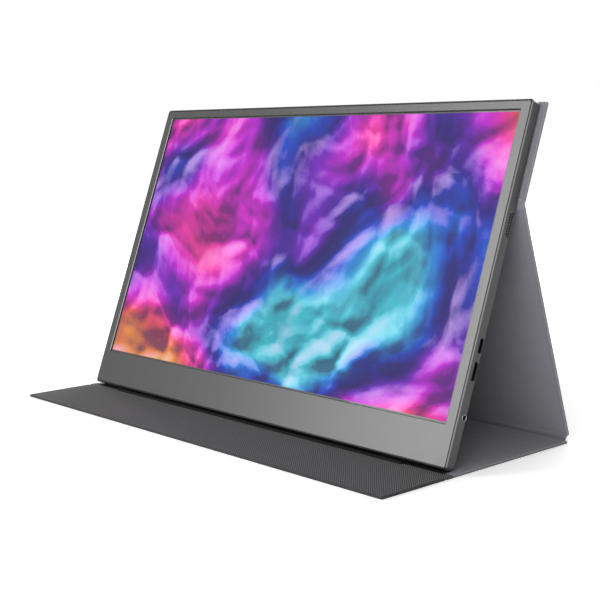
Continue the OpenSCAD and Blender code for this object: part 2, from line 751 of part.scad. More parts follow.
module rear_housing() color("#6a6a6a") on_display() difference() {
    union() {
        swept_round(display_w, display_h, display_corner_r) translate([0, -display_t]) housing_profile();
        display_core(rear_inside, display_t);
        for (p = concat(main_holes, control_holes)) translate([p[0], p[1], -rear_inside])
            cylinder(r = boss_r, h = boss_h);
    }
    for (p = concat(main_holes, control_holes)) translate([p[0], p[1], -rear_inside - rear_wall / 2])
        cylinder(r = screw_r, h = rear_wall + boss_h);
    translate([0, data_y, -data_depth]) across(port_wall - over, half_w + over) data_shape(fit_gap);
    translate([0, video_y, -video_depth]) across(port_wall - over, half_w + over) video_shape(fit_gap);
    translate([0, jack_y, -jack_depth_mid])
        across(port_wall - inner_edge_r, half_w + over) circle(jack_nose_r + fit_gap / 2);
    translate([0, light_y, -control_depth])
        across(port_wall - over, half_w + over) circle(light_r + fit_gap / 2);
    for (side = [0, 1]) mirror([side, 0, 0]) translate([0, grille_y, -control_depth])
        across(port_wall - over, half_w + over) grille_holes();
    translate([0, button_y, -control_depth]) across(-half_w - over, -port_wall + over)
        slot_shape(button_l + 2 * fit_gap, button_w + 2 * fit_gap);
    translate([0, wheel_y, -control_depth]) across(-half_w - over, -port_wall + over)
        square([2 * wheel_chord, wheel_t + 4 * fit_gap], center = true);
    feet([over, foot_seat]);
}
wheel_chord = sqrt(pow(wheel_r, 2) - pow(wheel_r - wheel_proud - side_wall, 2)) + 2 * fit_gap;

module foot_pads() color("#121213") on_display() feet([foot_proud, foot_seat]);

module power_button() color("#5c5c5c") on_display() translate([0, button_y, -control_depth]) {
    inside = -port_wall + button_gap;
    across(-half_w - button_proud, inside + button_flange) slot_shape(button_l, button_w);
    across(inside, inside + button_flange)
        slot_shape(button_l + 2 * button_lip, button_w + 2 * button_lip);
}
module wheel_pin() color("#c8c8cc") on_display() translate([wheel_x, wheel_y, -board_front])
    cylinder(r = pin_r, h = board_front - control_depth + wheel_t / 2 + pin_head);
module menu_wheel() color("#4c4c4c") on_display() translate([wheel_x, wheel_y, -control_depth - wheel_t / 2])
    difference() {
        cylinder(r = wheel_r, h = wheel_t);
        translate([0, 0, -over]) cylinder(r = pin_r + pin_play, h = wheel_t + 2 * over);
        for (i = [0 : wheel_grips - 1]) rotate([0, 0, i * 360 / wheel_grips])
            translate([wheel_r + wheel_grip_r - wheel_grip_depth, 0, -over])
                cylinder(r = wheel_grip_r, h = wheel_t + 2 * over, $fn = 16);
    }

// ---- assembly -----------------------------------------------------------------------------

base_skin();
base_board();
base_lining();
groove_strip();
stop_rib();
flap_cloth();
flap_board();
flap_magnets();
flap_underside();
strut_skin();
strut_board();
strut_lining();
upper_skin();
upper_board();
upper_magnets();
upper_lining();
front_bezel();
screen_gasket();
lcd_cell();
optical_sheets();
light_guide();
led_bar();
module_tray();
source_board();
panel_flex();
main_board();
control_board();
control_ribbon();
board_screws();
power_switch();
data_port();
video_port();
audio_jack();
status_light();
speaker_right();
speaker_left();
display_magnets();
rear_housing();
foot_pads();
wheel_pin();
power_button();
menu_wheel();
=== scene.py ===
"""Portable display with a folding cover that is also its stand: finishes and fine shapes."""
import json
import math

import bmesh
import bpy
from mathutils import Matrix, Vector


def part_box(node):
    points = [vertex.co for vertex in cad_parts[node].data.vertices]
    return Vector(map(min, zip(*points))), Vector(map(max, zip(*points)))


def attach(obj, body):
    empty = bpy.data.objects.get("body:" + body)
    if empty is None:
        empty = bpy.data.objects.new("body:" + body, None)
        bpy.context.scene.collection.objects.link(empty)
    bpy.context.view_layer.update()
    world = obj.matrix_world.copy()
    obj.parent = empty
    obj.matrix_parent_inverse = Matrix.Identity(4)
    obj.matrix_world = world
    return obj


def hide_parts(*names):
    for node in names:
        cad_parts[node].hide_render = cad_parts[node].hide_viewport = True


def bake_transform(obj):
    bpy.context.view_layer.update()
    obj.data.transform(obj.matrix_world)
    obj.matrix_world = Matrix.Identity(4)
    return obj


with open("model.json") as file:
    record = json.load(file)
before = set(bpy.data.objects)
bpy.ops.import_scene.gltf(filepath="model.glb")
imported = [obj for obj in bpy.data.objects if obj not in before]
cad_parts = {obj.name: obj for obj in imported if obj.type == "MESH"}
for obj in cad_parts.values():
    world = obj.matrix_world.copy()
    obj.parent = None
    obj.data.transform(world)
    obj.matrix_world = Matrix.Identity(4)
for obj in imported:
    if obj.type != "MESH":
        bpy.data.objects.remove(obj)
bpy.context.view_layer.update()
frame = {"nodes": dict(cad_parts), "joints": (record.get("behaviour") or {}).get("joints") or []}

bl_info = {
    "name": "Portable display with folding cover",
    "version": (1, 0, 0),
    "blender": (4, 5, 0),
    "location": "3D View > Sidebar > Display",
    "description": "Dresses the packed frame of a portable display in cloth, metal and light",
    "category": "Object",
}

MM = 0.001
FLAT_UV = "cloth"
NODES = frame["nodes"]
JOINTS = {joint["name"]: joint for joint in frame["joints"]}
CORNER_STEPS = 8


# Frames of reference

class Bench:
    """A flat frame in metres: x to the right, y along the panel or up the screen, z out of it."""

    def __init__(self, origin, along, out):
        self.origin = Vector(origin)
        self.x = Vector((1, 0, 0))
        self.y = Vector(along).normalized()
        self.z = Vector(out).normalized()

    def at(self, x, y, z):
        return self.origin + self.x * x + self.y * y + self.z * z

    def span(self, node, axis):
        """Lowest and highest place of a CAD node along one of the axes."""
        reach = [(v.co - self.origin).dot(axis) for v in NODES[node].data.vertices]
        return min(reach), max(reach)

    def middle(self, node, axis):
        return sum(self.span(node, axis)) / 2

    def beside(self, node, x, out=0.0):
        """The place at x that is level with a node's middle, or further out by a length."""
        return self.at(x, self.middle(node, self.y), self.middle(node, self.z) + out)


def facing(place, x, y, z):
    """Carries a mesh that was made at the origin to a place, with its axes turned to x, y, z."""
    return Matrix.Translation(place) @ Matrix((x, y, z)).transposed().to_4x4()


def make_display_bench():
    """Origin at the middle of the display's lower front edge, z out of the screen."""
    out = Vector(JOINTS["wheel_turn"]["axis"])
    up = Vector((0, out.z, -out.y))
    rough = Bench((0, 0, 0), up, out)
    low = rough.span("rear_housing", up)[0]
    face = rough.span("rear_housing", out)[1]
    return Bench(up * low + out * face, up, out)


DISPLAY = make_display_bench()
DISPLAY_T = -DISPLAY.span("rear_housing", DISPLAY.z)[0]
DISPLAY_SIDE = DISPLAY.span("rear_housing", DISPLAY.x)[1]
PANEL_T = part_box("base_lining")[1].z
FRONT_FOLD = Vector(JOINTS["flap_fold"]["pos_m"])
REAR_FOLD = Vector(JOINTS["rear_fold"]["pos_m"])
TOP_FOLD = Vector(JOINTS["top_fold"]["pos_m"])
STRUT_UP = (TOP_FOLD - REAR_FOLD).normalized()
STRUT_OUT = Vector((0, -STRUT_UP.z, STRUT_UP.y))
COVER_W = 2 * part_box("flap_cloth")[1].x
HEM = COVER_W / 2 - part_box("strut_lining")[1].x

BASE = Bench((0, FRONT_FOLD.y, 0), (0, 1, 0), (0, 0, 1))
FLAP = Bench((0, FRONT_FOLD.y, PANEL_T), (0, -1, 0), (0, 0, -1))
STRUT = Bench(REAR_FOLD - STRUT_OUT * PANEL_T / 2, STRUT_UP, STRUT_OUT)
UPPER = Bench(DISPLAY.at(0, (TOP_FOLD - DISPLAY.origin).dot(DISPLAY.y), -DISPLAY_T - PANEL_T),
              DISPLAY.y, DISPLAY.z)


def screen_opening(rim=0.5 * MM):
    """Width, lower and upper edge of the bezel's opening, on the display's bench."""
    points = [v.co - DISPLAY.origin for v in NODES["screen_gasket"].data.vertices]
    flat = [(p.dot(DISPLAY.x), p.dot(DISPLAY.y)) for p in points]
    outer = max(x for x, y in flat)
    top, bottom = max(y for x, y in flat), min(y for x, y in flat)
    # The gasket's inner corners lie more than a rim inside its outer ones
    inner = [(x, y) for x, y in flat if abs(x) < outer - rim]
    inner_y = [y for x, y in inner if bottom + rim < y < top - rim]
    return 2 * max(x for x, y in inner), min(inner_y), max(inner_y)


# Settings

def size(label, default_mm, text):
    """A length that a user may change. Blender keeps it in metres."""
    return bpy.props.FloatProperty(name=label, default=default_mm * MM, description=text,
                                   unit="LENGTH", min=0.0, precision=5)


def tint(label, code, text):
    """A colour that a user may change, written as an sRGB hex code."""
    return bpy.props.StringProperty(name=label, default=code, description=text, maxlen=7)


def power(label, default, text):
    """A lamp's power that a user may change, in watts."""
    return bpy.props.FloatProperty(name=label, default=default, description=text, unit="POWER",
                                   min=0.0)


class CoverLook(bpy.types.PropertyGroup):
    """Sizes and colours of the folding cover."""
    edge_r: size("Edge radius", 0.6, "Rounding of a panel's turned edge")
    fold_corner_r: size("Fold corner radius", 0.8, "Radius of a panel's corners at a fold")
    outer_corner_r: size("Outer corner radius", 1.2, "Radius of the cover's outer corners")
    press_depth: size("Pressed line depth", 0.1, "Depth of the line pressed inside an edge")
    press_inset: size("Pressed line inset", 2.6, "Distance of the pressed line from an edge")
    skin_t: size("Skin thickness", 0.45, "Thickness of the cloth that wraps a panel")
    lining_gap: size("Lining gap", 0.04, "Seam between the turned edge and the lining")
    fold_t: size("Fold thickness", 0.8, "Thickness of the soft cloth at a fold")
    lap: size("Fold lap", 0.02, "Height of a fold's cloth over the panel that it laps")
    tuck: size("Fold tuck", 1.0, "Length over which a fold's cloth laps a panel")
    # Painted shade: a black sheet on the base under the display's foot
    shade_mat_inset: size("Foot mat inset", 2.0, "Distance of the foot mat's ends from the side")
    notch: size("Rear fold notch", 3.2, "Cut at each end of the rear fold")
    rib_pitch: size("Weave pitch", 1.2, "Distance between the diagonal ribs of the weave")
    weave_slant: bpy.props.FloatProperty(name="Weave slant", default=46.0, min=0.0, max=90.0,
                                         description="Slant of the weave's ribs, in degrees")
    dot_pitch: size("Thread pitch", 0.9, "Distance between threads along a rib")
    # Painted shade: the woven cloth takes this colour in the hollows between its threads
    weave_dark: tint("Weave, shade", "#161617", "Colour between the threads of the woven cloth")
    weave_light: tint("Weave, thread", "#696969", "Colour on top of the threads of the woven cloth")
    lining_dark: tint("Lining, shade", "#75747a", "Darker colour of the lining")
    lining_light: tint("Lining, nap", "#807f86", "Lighter colour of the lining")
    edge_dark: tint("Turned edge, shade", "#78787b", "Darker grain of a panel's inner edge")
    # Painted highlight: the turned edge is coloured lighter than the lining, as the light that its
    # rounding catches
    edge_highlight: tint("Turned edge", "#868689", "Colour of a panel's inner edge, beside the lining")
    side_edge: tint("Side", "#4c4c4e", "Colour of the woven cloth, stretched round a panel's side")
    flap_edge: tint("Flap edge", "#3a3a3b", "Colour of the flap's turned edge")


class DisplayLook(bpy.types.PropertyGroup):
    """Sizes and colours of the display."""
    mask_w: size("Black border", 1.1, "Unlit border round the picture")
    film_t: size("Film thickness", 0.12, "Thickness of the screen's front film")
    film_gap: size("Film clearance", 0.05, "Play between the film and the bezel's opening")
    contact_w: size("Contact width", 0.28, "Width of a gold contact in a socket")
    bezel: tint("Bezel", "#4a4a4a", "Colour of the bezel's blasted metal")
    bezel_shade: tint("Bezel, shade", "#474747", "Darker grains of the bezel's blasted metal")
    housing: tint("Housing", "#4c4c4d", "Colour of the housing's painted metal")
    housing_shade: tint("Housing, shade", "#474748", "Darker grains of the housing's paint")
    # Painted highlight: only the left and right chamfers take this cut colour, with full metal
    cut_edge: tint("Cut edges", "#5e5e60", "Colour of the bright cut edges")
    # Painted shade: the housing's front rim and its top and bottom chamfers take this near-black
    # colour
    rim: tint("Front rim", "#101011", "Colour of the housing's narrow rim round the bezel")
    socket_lip: tint("Socket lip", "#333334", "Colour of a socket's plated lip")
    # Painted shade: deeper than the lip, a socket's inside takes this near-black colour
    socket_painted_shade: tint("Socket inside", "#060607", "Colour inside a socket")
    lip_depth: size("Socket lip depth", 0.15, "Depth to which a socket's lip keeps its colour")
    grille_pitch: size("Grille pitch", 1.75, "Distance between the holes of a grille")
    grille_gap: size("Grille column gap", 1.9, "Distance between the columns of a grille")
    grille_hole: size("Grille hole", 0.5, "Radius of a grille's hole")


class StageLook(bpy.types.PropertyGroup):
    """Floor and light."""
    floor_r: size("Floor radius", 4000.0, "Radius of the pale floor")
    key_power: power("Key light", 18.0, "Power of the large soft light at the front")
    fill_power: power("Fill light", 21.5, "Power of the soft light at the right")
    back_power: power("Back light", 30.0, "Power of the soft light behind")
    side_power: power("Side light", 4.0, "Power of the lamp at the left of the stand")
    sky: bpy.props.FloatProperty(name="Room light", default=0.13, min=0.0,
                                 description="Strength of the even light from all around")


# Meshes

def placed(name, data):
    """A new object at the origin of the scene."""
    made = bpy.data.objects.new(name, data)
    bpy.context.scene.collection.objects.link(made)
    return made


def mesh_of(name, shape, material):
    """A mesh of one material from a bmesh, which is freed."""
    mesh = bpy.data.meshes.new(name)
    shape.to_mesh(mesh)
    shape.free()
    mesh.materials.append(material)
    return mesh


def mesh_piece(name, points, faces, materials, uv=None, slots=None, smooth_deg=40.0):
    """An object from points in the row frame, with outward faces. uv gives each point's place on
    the flat cloth, and slots each face's material."""
    mesh = bpy.data.meshes.new(name)
    mesh.from_pydata([tuple(p) for p in points], [], faces)
    for material in materials:
        mesh.materials.append(material)
    if slots:
        mesh.polygons.foreach_set("material_index", slots)
    if uv:
        layer = mesh.uv_layers.new(name=FLAT_UV)
        for loop in mesh.loops:
            layer.data[loop.index].uv = uv[loop.vertex_index]
    shape = bmesh.new()
    shape.from_mesh(mesh)
    bmesh.ops.recalc_face_normals(shape, faces=shape.faces)
    shape.to_mesh(mesh)
    shape.free()
    mesh.shade_smooth()
    mesh.set_sharp_from_angle(angle=math.radians(smooth_deg))
    return placed(name, mesh)


def outline(w, y0, y1, r0, r1, inset, least_r=0.25 * MM):
    """A rounded panel's outline, drawn in by inset, anticlockwise from its lower right corner."""
    points = []
    for side, end, r, start in ((1, 0, r0, -90), (1, 1, r1, 0), (-1, 1, r1, 90), (-1, 0, r0, 180)):
        r = max(r - inset, least_r)
        x = side * (w / 2 - inset - r)
        y = y1 - inset - r if end else y0 + inset + r
        for k in range(CORNER_STEPS + 1):
            a = math.radians(start + 90 * k / CORNER_STEPS)
            points.append((x + r * math.cos(a), y + r * math.sin(a)))
    return points


def shell(name, bench, plan, profile, materials, bands=None):
    """A closed shell whose rings follow profile, a list of (inset, height), capped at both ends.
    plan is (width, y0, y1, corner radius at y0, corner radius at y1). bands gives the material
    of the first cap, of each band between two rings and of the last cap."""
    rings, n = len(profile), 4 * (CORNER_STEPS + 1)
    bands = bands or [0] * (rings + 1)
    points, uv, faces, slots = [], [], [], []
    for inset, height in profile:
        for x, y in outline(*plan, inset):
            points.append(bench.at(x, y, height))
            uv.append((x, y))
    for i in range(rings - 1):
        for k in range(n):
            a, b = i * n + k, i * n + (k + 1) % n
            faces.append((a, b, b + n, a + n))
            slots.append(bands[i + 1])
    for ring_number, band in ((0, bands[0]), (rings - 1, bands[-1])):
        faces.append(tuple(ring_number * n + k for k in range(n)))
        slots.append(band)
    return mesh_piece(name, points, faces, materials, uv, slots)


def round_over(start, end, corner, steps=4):
    """Points of a quarter round from one (inset, height) to another, bulging to a corner."""
    points = []
    for k in range(steps + 1):
        t = math.pi / 2 * k / steps
        points.append(tuple(c + (a - c) * (1 - math.sin(t)) + (b - c) * (1 - math.cos(t))
                            for a, b, c in zip(start, end, corner)))
    return points


# Columns across a strip of cloth: side, distance from its end, share of its thickness there
STRIP_COLUMNS = ((-1, 0.0, 0.35), (-1, 0.15 * MM, 0.85), (-1, 0.4 * MM, 1.0),
                 (1, 0.4 * MM, 1.0), (1, 0.15 * MM, 0.85), (1, 0.0, 0.35))


def strip(name, line, thick, half_width, materials):
    """A closed strip of cloth. line is its middle line as (y, z) points in the row frame; thick
    and half_width give its thickness and half its width at each point. The first material is on
    the side to the right of the line's run, and the second on the left and round the ends."""
    n = len(line)
    path = [Vector((0, y, z)) for y, z in line]
    length = [0.0]
    for a, b in zip(path, path[1:]):
        length.append(length[-1] + (b - a).length)
    normals = []
    for i in range(n):
        run = (path[min(i + 1, n - 1)] - path[max(i - 1, 0)]).normalized()
        normals.append(Vector((0, -run.z, run.y)))
    points, uv, faces, slots = [], [], [], []
    for side, inset, share in STRIP_COLUMNS:
        for face, order in ((1, range(n)), (-1, range(n - 1, -1, -1))):
            for i in order:
                x = side * (half_width[i] - inset)
                p = path[i] + normals[i] * (face * share * thick[i] / 2)
                points.append(Vector((x, p.y, p.z)))
                uv.append((x, length[i]))
    ring, last = 2 * n, len(STRIP_COLUMNS) - 1
    for c in range(last):
        for k in range(ring):
            a, b = c * ring + k, c * ring + (k + 1) % ring
            faces.append((a, b, b + ring, a + ring))
            slots.append(0 if n <= k < ring - 1 else 1)
    for a in (0, last * ring):
        for k in range(n - 1):
            faces.append((a + k, a + k + 1, a + ring - 2 - k, a + ring - 1 - k))
            slots.append(1)
    return mesh_piece(name, points, faces, materials, uv, slots, smooth_deg=60.0)


def fillet_line(corner, leg_a, reach_a, leg_b, reach_b, r, steps=12, leg_steps=4):
    """A middle line that comes in along one leg, rounds the corner and leaves along the other."""
    a, b = Vector(leg_a).normalized(), Vector(leg_b).normalized()
    half = a.angle(b) / 2
    run = r / math.tan(half)
    centre = corner + (a + b).normalized() * (r / math.sin(half))
    from_a, from_b = ((corner + leg * run - centre).normalized() for leg in (a, b))
    line = [corner + a * (run + (reach_a - run) * k / leg_steps) for k in range(leg_steps, 0, -1)]
    line += [centre + from_a.slerp(from_b, k / steps) * r for k in range(steps + 1)]
    line += [corner + b * (run + (reach_b - run) * k / leg_steps)
             for k in range(1, leg_steps + 1)]
    return [(p.y, p.z) for p in line]


def revolve(name, centre, axis, up, profile, material, steps=40):
    """A closed ring: profile is a list of (radius, height along the axis)."""
    across = axis.cross(up)
    points, faces = [], []
    n = len(profile)
    for s in range(steps):
        a = 2 * math.pi * s / steps
        out = up * math.cos(a) + across * math.sin(a)
        points += [centre + out * r + axis * h for r, h in profile]
        for k in range(n):
            p, q = s * n + k, s * n + (k + 1) % n
            shift = n if s < steps - 1 else -s * n
            faces.append((p, q, q + shift, p + shift))
    return mesh_piece(name, points, faces, [material])


# Materials

def linear(code):
    """Linear RGBA of an sRGB hex code."""
    channels = [int(code[i:i + 2], 16) / 255 for i in (1, 3, 5)]
    return tuple(c / 12.92 if c <= 0.04045 else ((c + 0.055) / 1.055) ** 2.4
                 for c in channels) + (1.0,)


def feed(node, sockets):
    """Gives a node's inputs, by name or number, a value or what feeds them: an output, or a node
    whose first output is meant."""
    for key, value in sockets.items():
        if isinstance(value, bpy.types.Node):
            value = value.outputs[0]
        if isinstance(value, bpy.types.NodeSocket):
            node.id_data.links.new(value, node.inputs[key])
        else:
            node.inputs[key].default_value = value
    return node


def add(tree, kind, sockets=None, **settings):
    """Adds a node with its settings and links. A shader node's kind goes without ShaderNode."""
    made = tree.nodes.new(kind if "Node" in kind else "ShaderNode" + kind)
    for key, value in settings.items():
        setattr(made, key, value)
    return feed(made, sockets or {})


def finish(name, colour, roughness, **sockets):
    """A new material with one Principled shader. Returns it, its tree and the shader."""
    made = bpy.data.materials.new(name)
    made.use_nodes = True
    shader = made.node_tree.nodes["Principled BSDF"]
    shader.inputs["Base Color"].default_value = linear(colour)
    shader.inputs["Roughness"].default_value = roughness
    for key, value in sockets.items():
        shader.inputs[key.replace("_", " ")].default_value = value
    made.diffuse_color = linear(colour)
    return made, made.node_tree, shader


def surface(tree, shader, share, dark, light, height, relief, strength=1.0):
    """Gives a shader a colour from dark to light, and its relief. Returns the colour."""
    colour = add(tree, "Mix", {0: share, 6: linear(dark), 7: linear(light)},
                 data_type="RGBA").outputs[2]
    bump = add(tree, "Bump", {"Height": height, "Distance": relief, "Strength": strength})
    feed(shader, {"Base Color": colour, "Normal": bump})
    return colour


def mottled(tree, shader, grain_mm, dark, light, relief_mm, rough=None):
    """Uneven colour, fine relief and, where rough is given, uneven gloss, on object coordinates."""
    place = add(tree, "TexCoord").outputs["Object"]
    grain = add(tree, "TexNoise", {
        "Vector": place, "Scale": 1 / (grain_mm * MM), "Detail": 4.0, "Roughness": 0.6})
    # The clouds are about 17 times as wide as the grains
    cloud = add(tree, "TexNoise", {
        "Vector": place, "Scale": 0.06 / (grain_mm * MM), "Detail": 2.0})
    both = add(tree, "Math", {0: cloud, 1: 0.4, 2: grain}, operation="MULTIPLY_ADD")
    share = add(tree, "MapRange", {"Value": both, "From Min": 0.45, "From Max": 0.95})
    if rough:
        gloss = add(tree, "MapRange", {"Value": share, "To Min": rough[0], "To Max": rough[1]})
        feed(shader, {"Roughness": gloss})
    return surface(tree, shader, share, dark, light, grain, relief_mm * MM)


def grained(name, colour, rough, sockets, grain_mm, dark, relief_mm):
    """A material of one colour with a fine mottled grain."""
    made, tree, shader = finish(name, colour, rough, **sockets)
    mottled(tree, shader, grain_mm, dark, colour, relief_mm)
    return made


def woven_cloth(name, look):
    """Coated polyester twill: dotted ribs run across it at a slant, so it looks dry and even.
    Threads of such cloth lie about 0.4 mm apart, too fine to show, so they are drawn coarser."""
    made, tree, shader = finish(name, look.weave_light, 0.86, Specular_IOR_Level=0.12,
                                Sheen_Weight=0.05, Sheen_Roughness=0.5)
    cloth = add(tree, "UVMap", uv_map=FLAT_UV)
    turned = add(tree, "Mapping", {
        "Vector": cloth, "Rotation": (0, 0, math.radians(-look.weave_slant))})
    scaled = add(tree, "Mapping", {
        "Vector": turned, "Scale": (1 / look.dot_pitch, 1 / look.rib_pitch, 1)})
    # The threads wander a little from their straight run
    wander = add(tree, "TexNoise", {"Vector": scaled, "Scale": 0.35, "Detail": 2.0})
    bent = add(tree, "VectorMath", {
        0: wander.outputs["Color"], 1: (0.5, 0.5, 0.5)}, operation="SUBTRACT")
    pull = add(tree, "VectorMath", {0: bent, "Scale": 0.35}, operation="SCALE")
    thread = add(tree, "VectorMath", {0: scaled, 1: pull}, operation="ADD")
    parts = add(tree, "SeparateXYZ", {0: thread})
    # A Wave texture has one wave in 2 pi / 20 of its own units
    per_wave = 2 * math.pi / 20
    rib = add(tree, "TexWave", {"Vector": thread, "Scale": per_wave}, bands_direction="Y")
    # Every second row of dots is set off by half a dot
    row = add(tree, "Math", {0: parts.outputs[1]}, operation="FLOOR")
    stagger = add(tree, "Math", {0: row, 1: math.pi}, operation="MULTIPLY")
    dots = add(tree, "TexWave", {
        "Vector": thread, "Scale": per_wave, "Phase Offset": stagger}, bands_direction="X")
    crown = add(tree, "Math", {0: dots.outputs["Fac"], 1: 0.65, 2: 0.35}, operation="MULTIPLY_ADD")
    height = add(tree, "Math", {0: rib.outputs["Fac"], 1: crown}, operation="MULTIPLY")
    fibre = add(tree, "TexNoise", {
        "Vector": scaled, "Scale": 3.0, "Detail": 3.0, "Roughness": 0.7})
    worn = add(tree, "Math", {0: fibre, 1: 0.5, 2: height}, operation="MULTIPLY_ADD")
    # Painted shade: the colour darkens with the threads' depth, in the hollows between them
    share = add(tree, "MapRange", {"Value": worn, "From Min": 0.15, "From Max": 1.15})
    surface(tree, shader, share, look.weave_dark, look.weave_light, worn,
            relief=0.18 * MM, strength=0.9)
    return made


def socket_metal(name, look):
    """Drawn steel shell, plated dull at its lip, with painted shade inside so the mouth reads dark.
    """
    made, tree, shader = finish(name, look.socket_lip, 0.3, Specular_IOR_Level=0.1)
    across = add(tree, "SeparateXYZ", {0: add(tree, "TexCoord").outputs["Object"]})
    # Painted shade: from the lip inwards the colour fades to near black
    unshaded_lip = add(tree, "MapRange", {
        "Value": across, "From Min": DISPLAY_SIDE - 2 * look.lip_depth,
        "From Max": DISPLAY_SIDE - look.lip_depth})
    lip = mottled(tree, shader, 0.6, look.socket_lip, look.socket_lip, 0.002)
    colour = add(tree, "Mix", {0: unshaded_lip, 6: linear(look.socket_painted_shade), 7: lip},
                 data_type="RGBA").outputs[2]
    rough = add(tree, "MapRange", {"Value": unshaded_lip, "To Min": 0.7, "To Max": 0.3})
    feed(shader, {"Base Color": colour, "Roughness": rough, "Metallic": unshaded_lip})
    return made


def edge_highlight_and_rim_shade(tree, shader, shade, cut, metallic, rim=None):
    """Machine-cut chamfers at the left and right, found by normals halfway from screen to side, get
    a bright metal colour as a painted highlight. Where rim is given, the rest of what faces the
    screen's way gets that dark colour as painted shade."""
    normal = add(tree, "TexCoord").outputs["Normal"]
    front = add(tree, "VectorMath", {0: normal, 1: tuple(DISPLAY.z)},
                operation="DOT_PRODUCT").outputs["Value"]
    if rim:
        # Painted shade: what faces the screen's way, the rim and its top and bottom chamfers, goes
        # near black
        rim_shade_mask = add(tree, "Math", {0: front, 1: 0.6}, operation="GREATER_THAN")
        shade = add(tree, "Mix", {0: rim_shade_mask, 6: shade, 7: linear(rim)},
                    data_type="RGBA").outputs[2]
    aside = add(tree, "Math", {0: add(tree, "SeparateXYZ", {0: normal})}, operation="ABSOLUTE")
    halfway = math.cos(math.radians(45))
    both = [add(tree, "Math", {0: value, 1: halfway, 2: 0.12}, operation="COMPARE")
            for value in (front, aside)]
    # Painted highlight: only chamfers that face left or right get the cut colour and full metal
    side_highlight_mask = add(tree, "Math", {0: both[0], 1: both[1]}, operation="MULTIPLY")
    colour = add(tree, "Mix", {0: side_highlight_mask, 6: shade, 7: linear(cut)}, data_type="RGBA").outputs[2]
    metal = add(tree, "MapRange", {"Value": side_highlight_mask, "To Min": metallic, "To Max": 1.0})
    feed(shader, {"Base Color": colour, "Metallic": metal})


def blasted_metal(name, look):
    """Aluminium, bead-blasted and anodised grey: an even satin that darkens away from the light."""
    made, tree, shader = finish(name, look.bezel, 0.3)
    mixed = mottled(tree, shader, 0.45, look.bezel_shade, look.bezel, 0.004, rough=(0.3, 0.36))
    # The bezel's left and right chamfers get a painted highlight
    edge_highlight_and_rim_shade(tree, shader, mixed, look.cut_edge, metallic=0.9)
    return made


def painted_metal(name, look):
    """Aluminium shell with a dark satin paint: soft broad highlights, a front rim darkened to near
    black as painted shade, and side chamfers with a painted highlight."""
    made, tree, shader = finish(name, look.housing, 0.42, Specular_IOR_Level=0.3)
    mixed = mottled(tree, shader, 0.4, look.housing_shade, look.housing, 0.006,
                    rough=(0.38, 0.48))
    edge_highlight_and_rim_shade(tree, shader, mixed, look.cut_edge, metallic=0.2, rim=look.rim)
    return made


def smoke(tree, place):
    """Lumps of smoke at a place on the screen, and the curled place that they are drawn from."""
    swirl = add(tree, "TexNoise", {"Vector": place, "Scale": 1.7, "Detail": 1.0, "Roughness": 0.5})
    drawn = add(tree, "VectorMath", {
        0: swirl.outputs["Color"], 1: (0.38, 0.38, 0.0), 2: place}, operation="MULTIPLY_ADD")
    curl = add(tree, "TexNoise", {"Vector": drawn, "Scale": 4.0, "Detail": 6.0, "Roughness": 0.55})
    spread = add(tree, "VectorMath", {
        0: curl.outputs["Color"], 1: (0.15, 0.15, 0.0), 2: drawn}, operation="MULTIPLY_ADD")
    lumps = add(tree, "TexVoronoi", {
        "Vector": spread, "Scale": 7.0, "Detail": 1.5, "Roughness": 0.4},
        feature="F1", normalize=True)
    return lumps, spread


# The picture's colours from warm to cold, each with its place on the ramp
HUES = ((0.0, "#ffd21a"), (0.1, "#ff9a3c"), (0.2, "#ff5a5a"), (0.3, "#ff34b4"),
        (0.42, "#d41ee0"), (0.52, "#7a1cc8"), (0.6, "#2e1e9a"), (0.7, "#1450d8"),
        (0.8, "#2aa0f0"), (0.9, "#5adcf0"), (1.0, "#3cc8d8"))


def glowing_picture(name, width):
    """Lit picture behind an anti-glare film: billows of coloured smoke, lit from the upper left."""
    made, tree, shader = finish(name, "#030304", 0.45, Specular_IOR_Level=0.12,
                                Emission_Strength=1.0)
    # The picture is as wide as one unit of the patterns
    place = add(tree, "Mapping", {
        "Vector": add(tree, "UVMap", uv_map=FLAT_UV), "Location": (5.1, 4.4, 0),
        "Scale": (1 / width, 1 / width, 1)}).outputs[0]
    towards_light = add(tree, "VectorMath", {0: place, 1: (-0.012, 0.016, 0.0)},
                        operation="ADD").outputs[0]
    lumps, spread = smoke(tree, place)
    # A lump is high where its distance is small, so this is its slope up towards the light
    slope = add(tree, "Math", {0: smoke(tree, towards_light)[0], 1: lumps}, operation="SUBTRACT")
    plume = add(tree, "TexNoise", {
        "Vector": spread, "Scale": 2.1, "Detail": 2.0, "Roughness": 0.45})
    level = add(tree, "MapRange", {"Value": plume, "From Min": 0.3, "From Max": 0.7})
    hues = add(tree, "ValToRGB", {0: level})
    ramp = hues.color_ramp.elements
    while len(ramp) < len(HUES):
        ramp.new(0.5)
    for element, (stop, code) in zip(ramp, HUES):
        element.position, element.color = stop, linear(code)
    shaded = add(tree, "MapRange", {
        "Value": slope, "From Min": 0.04, "From Max": -0.06, "To Max": 0.8})
    between = add(tree, "MapRange", {
        "Value": lumps, "From Min": 0.3, "From Max": 0.62, "To Max": 0.85})
    depth = add(tree, "Math", {0: shaded, 1: between}, operation="MAXIMUM")
    dark = add(tree, "Mix", {0: depth, 6: hues, 7: linear("#1c0a52")}, data_type="RGBA").outputs[2]
    lit = add(tree, "MapRange", {"Value": slope, "From Min": 0.01, "From Max": 0.1, "To Max": 0.9})
    glow = add(tree, "Mix", {0: lit, 6: dark, 7: linear("#b08fd4")},
               data_type="RGBA", blend_type="SCREEN").outputs[2]
    feed(shader, {"Emission Color": glow})
    return made


